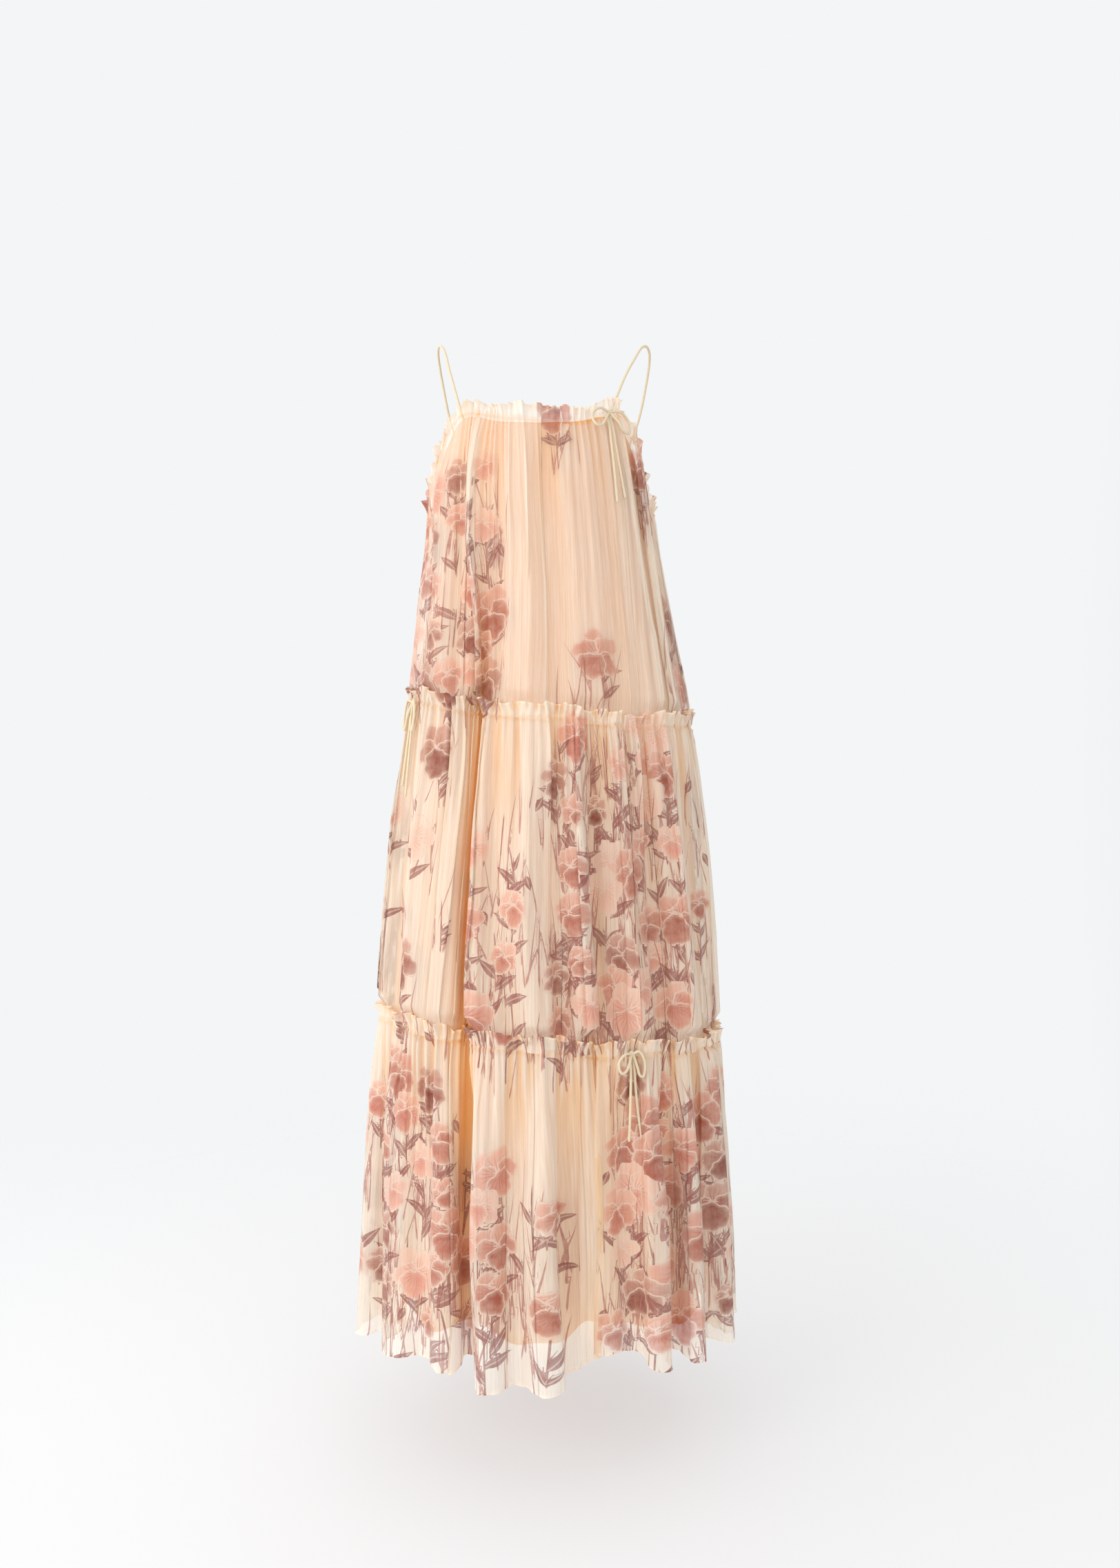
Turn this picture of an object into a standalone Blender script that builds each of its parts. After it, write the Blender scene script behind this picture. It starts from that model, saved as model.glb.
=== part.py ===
"""Three-tier gathered maxi dress on thin straps, with a slip lining, in the hollow shape it has when worn.

Metres, +Z up, front towards -Y. The origin is midway between the tops of the two straps, and a drop
is a distance below it. Angles go round the dress: 0 is the middle of the front, 90 the side at +X.
Each cloth panel is half a tube. Its inner skin is a grid laid on the dress's form, which is then
extruded outwards by the thickness of the cloth.
"""

import bisect
import math

import bmesh
import bpy
from mathutils import Vector

# Cloth
CLOTH = 0.002  # a gathered outer tier
LINING_CLOTH = 0.0012
SEAM_GAP = 0.0003
GATHERS = 60  # round each of the three drawstring lines
LINING_COLUMNS = 30  # across half of the slip
HEADER = 0.017  # frill that stands above a drawstring line
HEM_RISE = 0.4  # how far a fold lifts the hem, for each metre that it goes in
SHARP_ANGLE = 60  # an edge that bends more than this is shown sharp
# Gathers differ in height: share, turn from one to the next and first turn, in radians
GATHER_UNEVENNESS = (
    (0.2, 2.4, 0.0),
    (0.1, 5.1, 1.0),
)

# The form: drop, half width, depth of the front, depth of the back, shift to +X, ripple
SECTIONS = (
    (0.100, 0.122, 0.096, 0.090, -0.012, 0.0000),
    (0.200, 0.1415, 0.121, 0.098, -0.013, 0.0003),
    (0.280, 0.1495, 0.125, 0.105, -0.009, 0.0008),
    (0.360, 0.161, 0.126, 0.116, -0.006, 0.0012),
    (0.500, 0.182, 0.136, 0.141, 0.000, 0.0015),
    (0.700, 0.2035, 0.159, 0.171, 0.000, 0.0025),
    (0.900, 0.218, 0.186, 0.191, 0.000, 0.0025),
    (1.100, 0.2265, 0.196, 0.203, 0.002, 0.0035),
    (1.300, 0.2315, 0.202, 0.210, 0.004, 0.0045),
)
# Ripples that run down the cloth: count round the dress, share, phase in radians
RIPPLES = (
    (23, 0.45, 1.1),
    (31, 0.35, 2.7),
    (41, 0.20, 0.4),
)

# Drawstring line at the neck: angle from the middle of the front, drop
NECK_LINE = (
    (0, 0.1325),
    (22, 0.1280),
    (44, 0.1150),
    (56, 0.1200),
    (70, 0.1600),
    (84, 0.2100),
    (97, 0.2330),
    (125, 0.2370),
    (180, 0.2320),
)
# Level lines: drop, how much lower at +X, how much lower at the front
HIP_LINE = (0.4910, 0.0168, 0.0127)
KNEE_LINE = (0.9040, 0.0155, -0.0055)
LINING_HEM = 1.250
# Hem between the folds: angle, drop
HEM_LINE = (
    (-180, 1.287),
    (-90, 1.290),
    (-50, 1.282),
    (-28, 1.288),
    (-9, 1.293),
    (4, 1.287),
    (13, 1.272),
    (23, 1.259),
    (36, 1.281),
    (60, 1.277),
    (90, 1.284),
    (180, 1.287),
)

# Main folds: angle, spread in degrees, drop where it starts, depth at the hip, knee and hem
FOLDS = (
    (-80, 8, 0.60, 0.000, -0.002, -0.006),
    (-66, 6, 0.50, 0.000, 0.008, 0.018),
    (-48, 7, 0.70, 0.000, 0.000, -0.005),
    (-30, 5, 0.28, 0.023, 0.026, 0.030),
    (5, 4, 0.50, 0.000, 0.004, 0.012),
    (15.5, 4.5, 0.40, 0.003, 0.015, 0.030),
    (30, 4, 0.40, 0.003, 0.008, 0.014),
    (42, 4.5, 0.40, 0.002, 0.006, 0.015),
    (58, 8, 0.70, 0.000, 0.000, -0.005),
    (74, 5, 0.50, 0.000, 0.007, 0.015),
    (104, 6, 0.50, 0.000, 0.008, 0.014),
    (124, 6, 0.34, 0.010, 0.014, 0.022),
    (146, 5, 0.45, 0.003, 0.008, 0.016),
    (165, 6, 0.30, 0.014, 0.019, 0.027),
    (-172, 5, 0.45, 0.003, 0.008, 0.014),
    (-152, 6, 0.34, 0.011, 0.016, 0.024),
    (-130, 5, 0.45, 0.002, 0.008, 0.015),
    (-110, 6, 0.40, 0.006, 0.012, 0.020),
)
FOLD_ONSET = 0.1  # shortest drop in which a fold reaches its first depth
FOLD_REACH = 3.5  # a fold ends this many spreads from its middle
LINING_SPREAD = 3.5  # degrees by which the slip's folds are wider

# Rows of a tier: share of the way to the next line, extra drop, lift off the form, gather height
TIER_ROWS = (
    (0.0, -HEADER, 0.0036, 0.0025),
    (0.0, -HEADER / 2, 0.0020, 0.0014),
    (0.0, 0.000, 0.0006, 0.0004),
    (0.0, 0.016, 0.0020, 0.0014),
    (0.3, 0.000, 0.0018, 0.0014),
    (0.65, 0.000, 0.0013, 0.0010),
    (1.0, -0.024, -CLOTH, 0.0),
    (1.0, 0.004, -CLOTH, 0.0),
)
HEM_ROWS = TIER_ROWS[:5] + (
    (0.6, 0.000, 0.0018, 0.0014),
    (0.88, 0.000, 0.0018, 0.0014),
    (1.0, 0.000, 0.0022, 0.0022),
)
# Rows of the slip: share of the way from neck to hem, extra drop, how far inside the form
LINING_ROWS = (
    (0.0, 0.003, 0.0020),
    (0.0, 0.028, 0.0042),
    (0.16, 0.000, 0.0076),
    (0.34, 0.000, 0.0090),
    (0.58, 0.000, 0.0120),
    (0.79, 0.000, 0.0180),
    (1.0, 0.000, 0.0240),
)

# Straps and drawstring
STRAP_RADIUS = 0.00175
STRAP_INSET = 0.0047  # its centre line, inside the form where it is sewn to the slip
STRAP_SEWN = 0.006  # how far its end lies below the drawstring line
STRAP_POINTS = 22
LEFT_STRAP_ENDS = (-52, -146)
LEFT_STRAP_ROUTE = (
    (-0.1285, -0.038, -0.050),
    (-0.1365, -0.020, -0.018),
    (-0.1425, -0.008, -0.005),
    (-0.1475, 0.006, -0.001),
    (-0.1500, 0.026, -0.007),
    (-0.1470, 0.052, -0.034),
    (-0.1370, 0.071, -0.085),
    (-0.1160, 0.078, -0.150),
    (-0.0968, 0.0725, -0.208),
)
RIGHT_STRAP_ENDS = (46, 146)
RIGHT_STRAP_ROUTE = (
    (0.0990, -0.040, -0.056),
    (0.1145, -0.021, -0.023),
    (0.1230, -0.009, -0.007),
    (0.1310, 0.006, -0.001),
    (0.1360, 0.026, -0.007),
    (0.1335, 0.052, -0.034),
    (0.1220, 0.071, -0.085),
    (0.0940, 0.078, -0.150),
    (0.0710, 0.0725, -0.208),
)
CORD_RADIUS = 0.0016
KNOT_RADIUS = 0.0034
KNOT_OUT = 0.0077  # centre of a knot, out from the form
LAYER = 0.00178  # the bow's loops lie this far above its knot's centre, its tails as far below
TAIL_START = 0.0009  # from the knot's skin to the middle of a tail's end
TAIL_OUT = 0.0087  # where a tail lies on the gathers
LOOP_OUT = 0.0124  # where a loop lies over the tails
TAIL_CLEAR = 0.014  # length in which a tail rises from its knot to there
TAIL_POINTS = 11
LOOP_POINTS = 13
# Where cords leave the knot, in degrees above its middle: a loop's upper and lower end, a tail
LOOP_TURNS = (18, -48)
TAIL_TURN = -60
TAIL_SHARES = (0.35, 0.65, 1.0)  # places down a tail, once it lies on the cloth
# A loop seen from the front: share of its reach, share of its droop
LOOP_SHAPE = (
    (0.55, 0.10),
    (0.93, -0.22),
    (1.00, -0.62),
    (0.84, -0.96),
    (0.56, -0.90),
    (0.34, -0.52),
)
# Bows: name, angle, reach and droop of each loop, length and drift of each tail
BOWS = (
    ("neck", 42, (0.026, 0.022), (0.030, 0.025), (0.113, -0.001), (0.106, 0.003)),
    ("hip", -68, (0.016, 0.036), (0.016, 0.038), (0.103, -0.001), (0.116, 0.002)),
    ("knee", 27, (0.020, 0.020), (0.015, 0.028), (0.096, -0.004), (0.101, 0.007)),
)

# Colours: name, red, green, blue in linear light, roughness
COLOURS = {
    "chiffon": (0.90, 0.70, 0.50, 0.8),
    "lining": (0.87, 0.58, 0.36, 0.6),
    "rouleau": (0.88, 0.74, 0.54, 0.6),
}


def table_value(rows, position, column):
    """Value of a column at a position, on a smooth curve through the table's rows."""
    keys = [row[0] for row in rows]
    position = min(max(position, keys[0]), keys[-1])
    after = min(max(bisect.bisect_right(keys, position), 1), len(rows) - 1)
    before = after - 1

    def slope(index):
        low, high = max(index - 1, 0), min(index + 1, len(rows) - 1)
        return (rows[high][column] - rows[low][column]) / (keys[high] - keys[low])

    span = keys[after] - keys[before]
    s = (position - keys[before]) / span
    value = rows[before][column] * (1 + 2 * s) * (1 - s) ** 2 + rows[after][column] * s * s * (3 - 2 * s)
    return value + span * (slope(before) * s * (1 - s) ** 2 - slope(after) * s * s * (1 - s))


def line_drop(line, angle):
    """Drop of a level line, which tilts sideways and from front to back."""
    level, to_side, to_front = line
    turn = math.radians(angle)
    return level + to_side * math.sin(turn) + to_front * math.cos(turn)


def neck_drop(angle):
    return table_value(NECK_LINE, abs(angle_between(angle, 0)), 1)


def hip_drop(angle):
    return line_drop(HIP_LINE, angle)


def knee_drop(angle):
    return line_drop(KNEE_LINE, angle)


def hem_drop(angle):
    level = table_value(HEM_LINE, angle_between(angle, 0), 1)
    return level - HEM_RISE * fold_depth(angle, level, 0)


def angle_between(angle, centre):
    return (angle - centre + 180) % 360 - 180


def fold_depth(angle, drop, extra_spread):
    """How far the main folds take the cloth in at one place."""
    depth = 0
    for centre, spread, start, hip, knee, hem in FOLDS:
        first = max(HIP_LINE[0], start + FOLD_ONSET)
        steps = ((start, 0), (first, hip), (KNEE_LINE[0], knee), (HEM_LINE[0][1], hem))
        away = angle_between(angle, centre) / (spread + extra_spread)
        if abs(away) < FOLD_REACH:
            depth += table_value(steps, drop, 1) * math.exp(-away * away)
    return depth


def ripple(angle, drop):
    height = table_value(SECTIONS, drop, 5)
    turn = math.radians(angle)
    return height * sum(share * math.sin(count * turn + phase) for count, share, phase in RIPPLES)


def form_point(angle, drop, out):
    """A point at an angle and a drop, moved out along the normal of the section there."""
    half_width, front, back, shift = (table_value(SECTIONS, drop, column) for column in range(1, 5))
    turn = math.radians(angle)
    depth = front if abs(angle_between(angle, 0)) <= 90 else back
    outward = Vector((math.sin(turn) / half_width, -math.cos(turn) / depth, 0)).normalized()
    return Vector((shift + half_width * math.sin(turn), -depth * math.cos(turn), -drop)) + out * outward


def outer_point(angle, drop, out):
    """A point out from the folded and rippled form of the outer tiers."""
    return form_point(angle, drop, out + ripple(angle, drop) - fold_depth(angle, drop, 0))


def lining_point(angle, drop, out):
    return form_point(angle, drop, out - fold_depth(angle, drop, LINING_SPREAD))


def gather(column):
    """Gathers go out and in from column to column, and no two are alike."""
    side = 1 if column % 2 else -1
    uneven = sum(share * math.sin(turn * column + first) for share, turn, first in GATHER_UNEVENNESS)
    return side * (1 + uneven)


def new_material(name):
    red, green, blue, roughness = COLOURS[name]
    material = bpy.data.materials.new(name)
    material.use_nodes = True
    shader = material.node_tree.nodes["Principled BSDF"]
    shader.inputs["Base Color"].default_value = (red, green, blue, 1)
    shader.inputs["Roughness"].default_value = roughness
    return material


def add_object(name, data, colour):
    """Put a mesh or curve in the dress's collection, with a material of its own, hung on the empty."""
    data.materials.append(new_material(colour))
    piece = bpy.data.objects.new(name, data)
    bpy.data.collections["maxi_dress"].objects.link(piece)
    piece.parent = bpy.data.objects["shoulders"]
    return piece


def half_tube(name, centre, columns, row_points, thickness, colour):
    """A panel from side seam to side seam: a grid on the form, extruded outwards."""
    bm = bmesh.new()
    turn = bm.verts.layers.float.new("turn")
    spans = len(row_points) - 1
    bmesh.ops.create_grid(bm, x_segments=columns, y_segments=spans, size=0.5)
    seam = SEAM_GAP / 2 if abs(centre) > 90 else -SEAM_GAP / 2
    for vert in bm.verts:
        column = round((vert.co.x + 0.5) * columns)
        row = round((vert.co.y + 0.5) * spans)
        angle = centre - 90 + 180 * column / columns
        vert[turn] = angle
        vert.co = row_points[row](angle, column) + Vector((0, seam, 0))
    shell = bmesh.ops.extrude_face_region(bm, geom=bm.faces[:], use_keep_orig=True)
    for vert in shell["geom"]:
        if isinstance(vert, bmesh.types.BMVert):
            drop = -vert.co.z
            vert.co += form_point(vert[turn], drop, thickness) - form_point(vert[turn], drop, 0)
    bmesh.ops.recalc_face_normals(bm, faces=bm.faces)
    mesh = bpy.data.meshes.new(name)
    bm.to_mesh(mesh)
    bm.free()
    mesh.shade_smooth()
    mesh.set_sharp_from_angle(angle=math.radians(SHARP_ANGLE))
    return add_object(name, mesh, colour)


def tier_row(top, bottom, row):
    """A row of a tier's inner skin, as a function of the angle and the column."""
    share, extra, lift, height = row

    def point(angle, column):
        drop = top(angle) * (1 - share) + bottom(angle) * share + extra
        return outer_point(angle, drop, lift + height * gather(column))

    return point


def lining_row(row):
    share, extra, inset = row

    def point(angle, _column):
        drop = neck_drop(angle) * (1 - share) + LINING_HEM * share + extra
        return lining_point(angle, drop, -inset)

    return point


def make_tier(name, top, bottom, rows):
    """Front and back of a tier, each in one with the frill above its drawstring."""
    for side, centre in (("front", 0), ("back", 180)):
        points = [tier_row(top, bottom, row) for row in rows]
        half_tube(f"{name}_{side}", centre, GATHERS, points, CLOTH, "chiffon")


def make_lining():
    for side, centre in (("front", 0), ("back", 180)):
        points = [lining_row(row) for row in LINING_ROWS]
        half_tube(f"lining_{side}", centre, LINING_COLUMNS, points, LINING_CLOTH, "lining")


def curve_through(points, count):
    """Evenly spread points on a smooth curve through the given ones."""
    rows = [(0, *points[0])]
    for point in points[1:]:
        step = (Vector(point) - Vector(rows[-1][1:])).length
        rows.append((rows[-1][0] + step, *point))
    length = rows[-1][0]
    places = [length * i / (count - 1) for i in range(count)]
    return [Vector([table_value(rows, place, axis) for axis in (1, 2, 3)]) for place in places]


def make_cord(name, points, radius):
    """A sewn tube of bias cloth, as a curve with filled ends."""
    curve = bpy.data.curves.new(name, "CURVE")
    curve.dimensions = "3D"
    curve.bevel_depth = radius
    curve.bevel_resolution = 2
    curve.use_fill_caps = True
    spline = curve.splines.new("POLY")
    spline.points.add(len(points) - 1)
    for place, point in zip(spline.points, points):
        place.co = (*point, 1)
    return add_object(name, curve, "rouleau")


def make_strap(name, ends, route):
    front, back = (form_point(angle, neck_drop(angle) + STRAP_SEWN, -STRAP_INSET) for angle in ends)
    make_cord(name, curve_through([front, *route, back], STRAP_POINTS), STRAP_RADIUS)


def bow_point(place, across, up, out):
    """A point of a bow, measured along the cloth from its knot."""
    angle, line = place
    drop = line(angle) - up
    round_one_degree = (form_point(angle + 1, drop, 0) - form_point(angle, drop, 0)).length
    return outer_point(angle + across / round_one_degree, drop, out)


def make_knot(name, place):
    bpy.ops.mesh.primitive_uv_sphere_add(segments=10, ring_count=7, radius=KNOT_RADIUS)
    ball = bpy.context.object
    mesh = ball.data
    bpy.data.objects.remove(ball)
    mesh.name = name
    mesh.shade_smooth()
    knot = add_object(name, mesh, "rouleau")
    knot.location = bow_point(place, 0, 0, KNOT_OUT)
    return knot


def make_loop(name, place, side, reach, droop):
    """A loop leaves the knot's upper side, hangs out and down, and comes back lower on the knot."""
    near = KNOT_RADIUS + SEAM_GAP
    leaves, returns = (
        bow_point(place, side * near * math.cos(turn), near * math.sin(turn), KNOT_OUT + LAYER)
        for turn in map(math.radians, LOOP_TURNS)
    )
    hanging = [bow_point(place, side * reach * across, droop * up, LOOP_OUT) for across, up in LOOP_SHAPE]
    points = [leaves, *hanging, returns]
    return make_cord(name, curve_through(points, LOOP_POINTS), CORD_RADIUS)


def make_tail(name, place, side, length, drift):
    """A tail leaves the underside of the knot and lies down the gathers."""
    start = math.radians(TAIL_TURN)
    near = KNOT_RADIUS + TAIL_START
    across, up = side * near * math.cos(start), near * math.sin(start)
    points = [bow_point(place, across, up, KNOT_OUT - LAYER)]
    for share in (TAIL_CLEAR / length, *TAIL_SHARES):
        sideways = across * (1 + share) + drift * share * share
        points.append(bow_point(place, sideways, up - length * share, TAIL_OUT))
    return make_cord(name, curve_through(points, TAIL_POINTS), CORD_RADIUS)


def make_bow(name, place, left_loop, right_loop, left_tail, right_tail):
    make_knot(f"{name}_bow_knot", place)
    make_loop(f"{name}_bow_loop_left", place, -1, *left_loop)
    make_loop(f"{name}_bow_loop_right", place, 1, *right_loop)
    make_tail(f"{name}_bow_tail_left", place, -1, *left_tail)
    make_tail(f"{name}_bow_tail_right", place, 1, *right_tail)


def main():
    for old in list(bpy.data.objects):
        bpy.data.objects.remove(old)
    dress = bpy.data.collections.new("maxi_dress")
    bpy.context.scene.collection.children.link(dress)
    dress.objects.link(bpy.data.objects.new("shoulders", None))

    make_tier("upper_tier", neck_drop, hip_drop, TIER_ROWS)
    make_tier("middle_tier", hip_drop, knee_drop, TIER_ROWS)
    make_tier("lower_tier", knee_drop, hem_drop, HEM_ROWS)
    make_lining()
    make_strap("strap_left", LEFT_STRAP_ENDS, LEFT_STRAP_ROUTE)
    make_strap("strap_right", RIGHT_STRAP_ENDS, RIGHT_STRAP_ROUTE)
    lines = {"neck": neck_drop, "hip": hip_drop, "knee": knee_drop}
    for name, angle, *loops_and_tails in BOWS:
        make_bow(name, (angle, lines[name]), *loops_and_tails)


main()
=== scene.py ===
"""Maxi dress in sheer printed chiffon: three gathered tiers over a slip, thin straps and tied drawstrings.

Metres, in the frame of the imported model: +Z up, the front towards -Y, the origin midway between the tops of
the two straps. A drop is a distance below the origin. Angles go round the dress: 0 is the middle of the front
and 90 the side at +X. A place on the flat cloth is its distance along the gathers and its drop.
"""

import math

import bpy
import numpy as np
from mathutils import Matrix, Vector


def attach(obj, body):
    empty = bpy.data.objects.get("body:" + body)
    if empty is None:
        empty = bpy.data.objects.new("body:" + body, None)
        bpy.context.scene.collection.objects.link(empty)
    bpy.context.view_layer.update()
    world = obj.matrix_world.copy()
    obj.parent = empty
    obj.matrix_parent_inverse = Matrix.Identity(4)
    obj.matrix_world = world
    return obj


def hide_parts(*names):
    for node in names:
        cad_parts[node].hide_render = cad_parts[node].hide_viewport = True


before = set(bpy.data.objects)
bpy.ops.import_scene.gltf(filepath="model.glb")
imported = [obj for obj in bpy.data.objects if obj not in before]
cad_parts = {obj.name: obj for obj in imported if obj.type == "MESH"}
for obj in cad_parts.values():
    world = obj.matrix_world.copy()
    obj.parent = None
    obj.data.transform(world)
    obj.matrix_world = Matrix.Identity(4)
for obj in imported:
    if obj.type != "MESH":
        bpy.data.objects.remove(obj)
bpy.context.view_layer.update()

bl_info = {
    "name": "Maxi Dress",
    "version": (1, 0, 0),
    "blender": (4, 5, 0),
    "location": "3D View > Sidebar > Maxi Dress",
    "description": "Builds a three-tier chiffon dress with its slip, straps and bows on the packed model",
    "category": "Add Mesh",
}

# The form, as in the part's source

HEADER = 0.017
HEM_RISE = 0.4
# Drop, half width, depth of the front, depth of the back, shift to +X, ripple
SECTIONS = (
    (0.100, 0.122, 0.096, 0.090, -0.012, 0.0000),
    (0.200, 0.1415, 0.121, 0.098, -0.013, 0.0003),
    (0.280, 0.1495, 0.125, 0.105, -0.009, 0.0008),
    (0.360, 0.161, 0.126, 0.116, -0.006, 0.0012),
    (0.500, 0.182, 0.136, 0.141, 0.000, 0.0015),
    (0.700, 0.2035, 0.159, 0.171, 0.000, 0.0025),
    (0.900, 0.218, 0.186, 0.191, 0.000, 0.0025),
    (1.100, 0.2265, 0.196, 0.203, 0.002, 0.0035),
    (1.300, 0.2315, 0.202, 0.210, 0.004, 0.0045),
)
# Ripples: count round the dress, share, phase in radians
RIPPLES = ((23, 0.45, 1.1), (31, 0.35, 2.7), (41, 0.20, 0.4))
# Drawstring line at the neck: angle from the middle of the front, drop
NECK_LINE = (
    (0, 0.1325),
    (22, 0.1280),
    (44, 0.1150),
    (56, 0.1200),
    (70, 0.1600),
    (84, 0.2100),
    (97, 0.2330),
    (125, 0.2370),
    (180, 0.2320),
)
# Level lines: drop, how much lower at +X, how much lower at the front
HIP_LINE = (0.4910, 0.0168, 0.0127)
KNEE_LINE = (0.9040, 0.0155, -0.0055)
SLIP_HEM = 1.250
# Hem between the folds: angle, drop
HEM_LINE = (
    (-180, 1.287),
    (-90, 1.290),
    (-50, 1.282),
    (-28, 1.288),
    (-9, 1.293),
    (4, 1.287),
    (13, 1.272),
    (23, 1.259),
    (36, 1.281),
    (60, 1.277),
    (90, 1.284),
    (180, 1.287),
)
# Main folds: angle, spread in degrees, drop where it starts, depth at the hip, knee and hem
FOLDS = (
    (-80, 8, 0.60, 0.000, -0.002, -0.006),
    (-66, 6, 0.50, 0.000, 0.008, 0.018),
    (-48, 7, 0.70, 0.000, 0.000, -0.005),
    (-30, 5, 0.28, 0.023, 0.026, 0.030),
    (5, 4, 0.50, 0.000, 0.004, 0.012),
    (15.5, 4.5, 0.40, 0.003, 0.015, 0.030),
    (30, 4, 0.40, 0.003, 0.008, 0.014),
    (42, 4.5, 0.40, 0.002, 0.006, 0.015),
    (58, 8, 0.70, 0.000, 0.000, -0.005),
    (74, 5, 0.50, 0.000, 0.007, 0.015),
    (104, 6, 0.50, 0.000, 0.008, 0.014),
    (124, 6, 0.34, 0.010, 0.014, 0.022),
    (146, 5, 0.45, 0.003, 0.008, 0.016),
    (165, 6, 0.30, 0.014, 0.019, 0.027),
    (-172, 5, 0.45, 0.003, 0.008, 0.014),
    (-152, 6, 0.34, 0.011, 0.016, 0.024),
    (-130, 5, 0.45, 0.002, 0.008, 0.015),
    (-110, 6, 0.40, 0.006, 0.012, 0.020),
)
SLIP_SPREAD = 3.5
# How far the slip lies inside the form: share of the way from neck to hem, distance
SLIP_INSETS = (
    (0.0, 0.0022),
    (0.026, 0.0042),
    (0.16, 0.0076),
    (0.34, 0.0090),
    (0.58, 0.0120),
    (0.79, 0.0180),
    (1.0, 0.0240),
)

STRAP_RADIUS = 0.00175
STRAP_INSET = 0.0047
STRAP_SEWN = 0.006  # below the drawstring
# Straps: angles where the ends are sewn, points from the front to the back
STRAPS = {
    "strap_left": (
        (-52, -146),
        (
            (-0.1285, -0.038, -0.050),
            (-0.1365, -0.020, -0.018),
            (-0.1425, -0.008, -0.005),
            (-0.1475, 0.006, -0.001),
            (-0.1500, 0.026, -0.007),
            (-0.1470, 0.052, -0.034),
            (-0.1370, 0.071, -0.085),
            (-0.1160, 0.078, -0.150),
            (-0.0968, 0.0725, -0.208),
        ),
    ),
    "strap_right": (
        (46, 146),
        (
            (0.0990, -0.040, -0.056),
            (0.1145, -0.021, -0.023),
            (0.1230, -0.009, -0.007),
            (0.1310, 0.006, -0.001),
            (0.1360, 0.026, -0.007),
            (0.1335, 0.052, -0.034),
            (0.1220, 0.071, -0.085),
            (0.0940, 0.078, -0.150),
            (0.0710, 0.0725, -0.208),
        ),
    ),
}
CORD_RADIUS = 0.0016
KNOT_RADIUS = 0.0034
# How far off the form a bow's parts lie
KNOT_OUT = 0.0077
TAIL_OUT = 0.0087
LOOP_OUT = 0.0124
LAYER = 0.00178  # how much further out a loop meets the knot, and how much further in a tail
TAIL_START = 0.0009  # beyond the knot
TAIL_CLEAR = 0.014  # along a tail, where it is clear of the knot
# A loop seen from the front: share of its reach, share of its droop
LOOP_SHAPE = ((0.55, 0.10), (0.93, -0.22), (1.00, -0.62), (0.84, -0.96), (0.56, -0.90), (0.34, -0.52))
# Bows: angle, reach and droop of each loop, length and drift of each tail
BOWS = {
    "neck": (42, (0.026, 0.022), (0.030, 0.025), (0.113, -0.001), (0.106, 0.003)),
    "hip": (-68, (0.016, 0.036), (0.016, 0.038), (0.103, -0.001), (0.116, 0.002)),
    "knee": (27, (0.020, 0.020), (0.015, 0.028), (0.096, -0.004), (0.101, 0.007)),
}


def table_value(rows, position, column):
    """Values of a column at one or many positions, on a smooth curve through the table's rows."""
    keys = np.array([row[0] for row in rows], float)
    values = np.array([row[column] for row in rows], float)
    low = np.maximum(np.arange(len(keys)) - 1, 0)
    high = np.minimum(np.arange(len(keys)) + 1, len(keys) - 1)
    slopes = (values[high] - values[low]) / (keys[high] - keys[low])
    position = np.clip(position, keys[0], keys[-1])
    after = np.clip(np.searchsorted(keys, position, side="right"), 1, len(keys) - 1)
    before = after - 1
    span = keys[after] - keys[before]
    s = (position - keys[before]) / span
    value = values[before] * (1 + 2 * s) * (1 - s) ** 2 + values[after] * s * s * (3 - 2 * s)
    return value + span * (slopes[before] * s * (1 - s) ** 2 - slopes[after] * s * s * (1 - s))


def angle_between(angle, centre):
    """Degrees from the centre to the angle, between -180 and 180."""
    return (angle - centre + 180) % 360 - 180


def line_drop(line, angle):
    level, to_side, to_front = line
    turn = np.radians(angle)
    return level + to_side * np.sin(turn) + to_front * np.cos(turn)


def neck_drop(angle):
    return table_value(NECK_LINE, np.abs(angle_between(angle, 0)), 1)


def hip_drop(angle):
    return line_drop(HIP_LINE, angle)


def knee_drop(angle):
    return line_drop(KNEE_LINE, angle)


def hem_drop(angle):
    level = table_value(HEM_LINE, angle_between(angle, 0), 1)
    return level - HEM_RISE * fold_depth(angle, level, 0)


def fold_depth(angle, drop, extra_spread):
    """How far the main folds take the cloth in."""
    depth = 0
    for centre, spread, start, hip, knee, hem in FOLDS:
        upper = (start, 0), (max(HIP_LINE[0], start + 0.1), hip)
        steps = (*upper, (KNEE_LINE[0], knee), (HEM_LINE[0][1], hem))
        away = angle_between(angle, centre) / (spread + extra_spread)
        depth = depth + np.where(np.abs(away) < 3.5, table_value(steps, drop, 1) * np.exp(-away * away), 0)
    return depth


def ripple(angle, drop):
    turn = np.radians(angle)
    waves = sum(share * np.sin(count * turn + phase) for count, share, phase in RIPPLES)
    return table_value(SECTIONS, drop, 5) * waves


def form_point(angle, drop, out):
    """Points at an angle and a drop, moved out along the normal of the section there."""
    half_width, front, back, shift = (table_value(SECTIONS, drop, column) for column in range(1, 5))
    turn = np.radians(angle)
    depth = np.where(np.abs(angle_between(angle, 0)) <= 90, front, back)
    x, y = np.sin(turn) / half_width, -np.cos(turn) / depth
    length = np.hypot(x, y)
    across = shift + half_width * np.sin(turn) + out * x / length
    backward = -depth * np.cos(turn) + out * y / length
    return np.stack(np.broadcast_arrays(across, backward, -drop), axis=-1)


def outer_point(angle, drop, out):
    return form_point(angle, drop, out + ripple(angle, drop) - fold_depth(angle, drop, 0))


# Cloth

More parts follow.
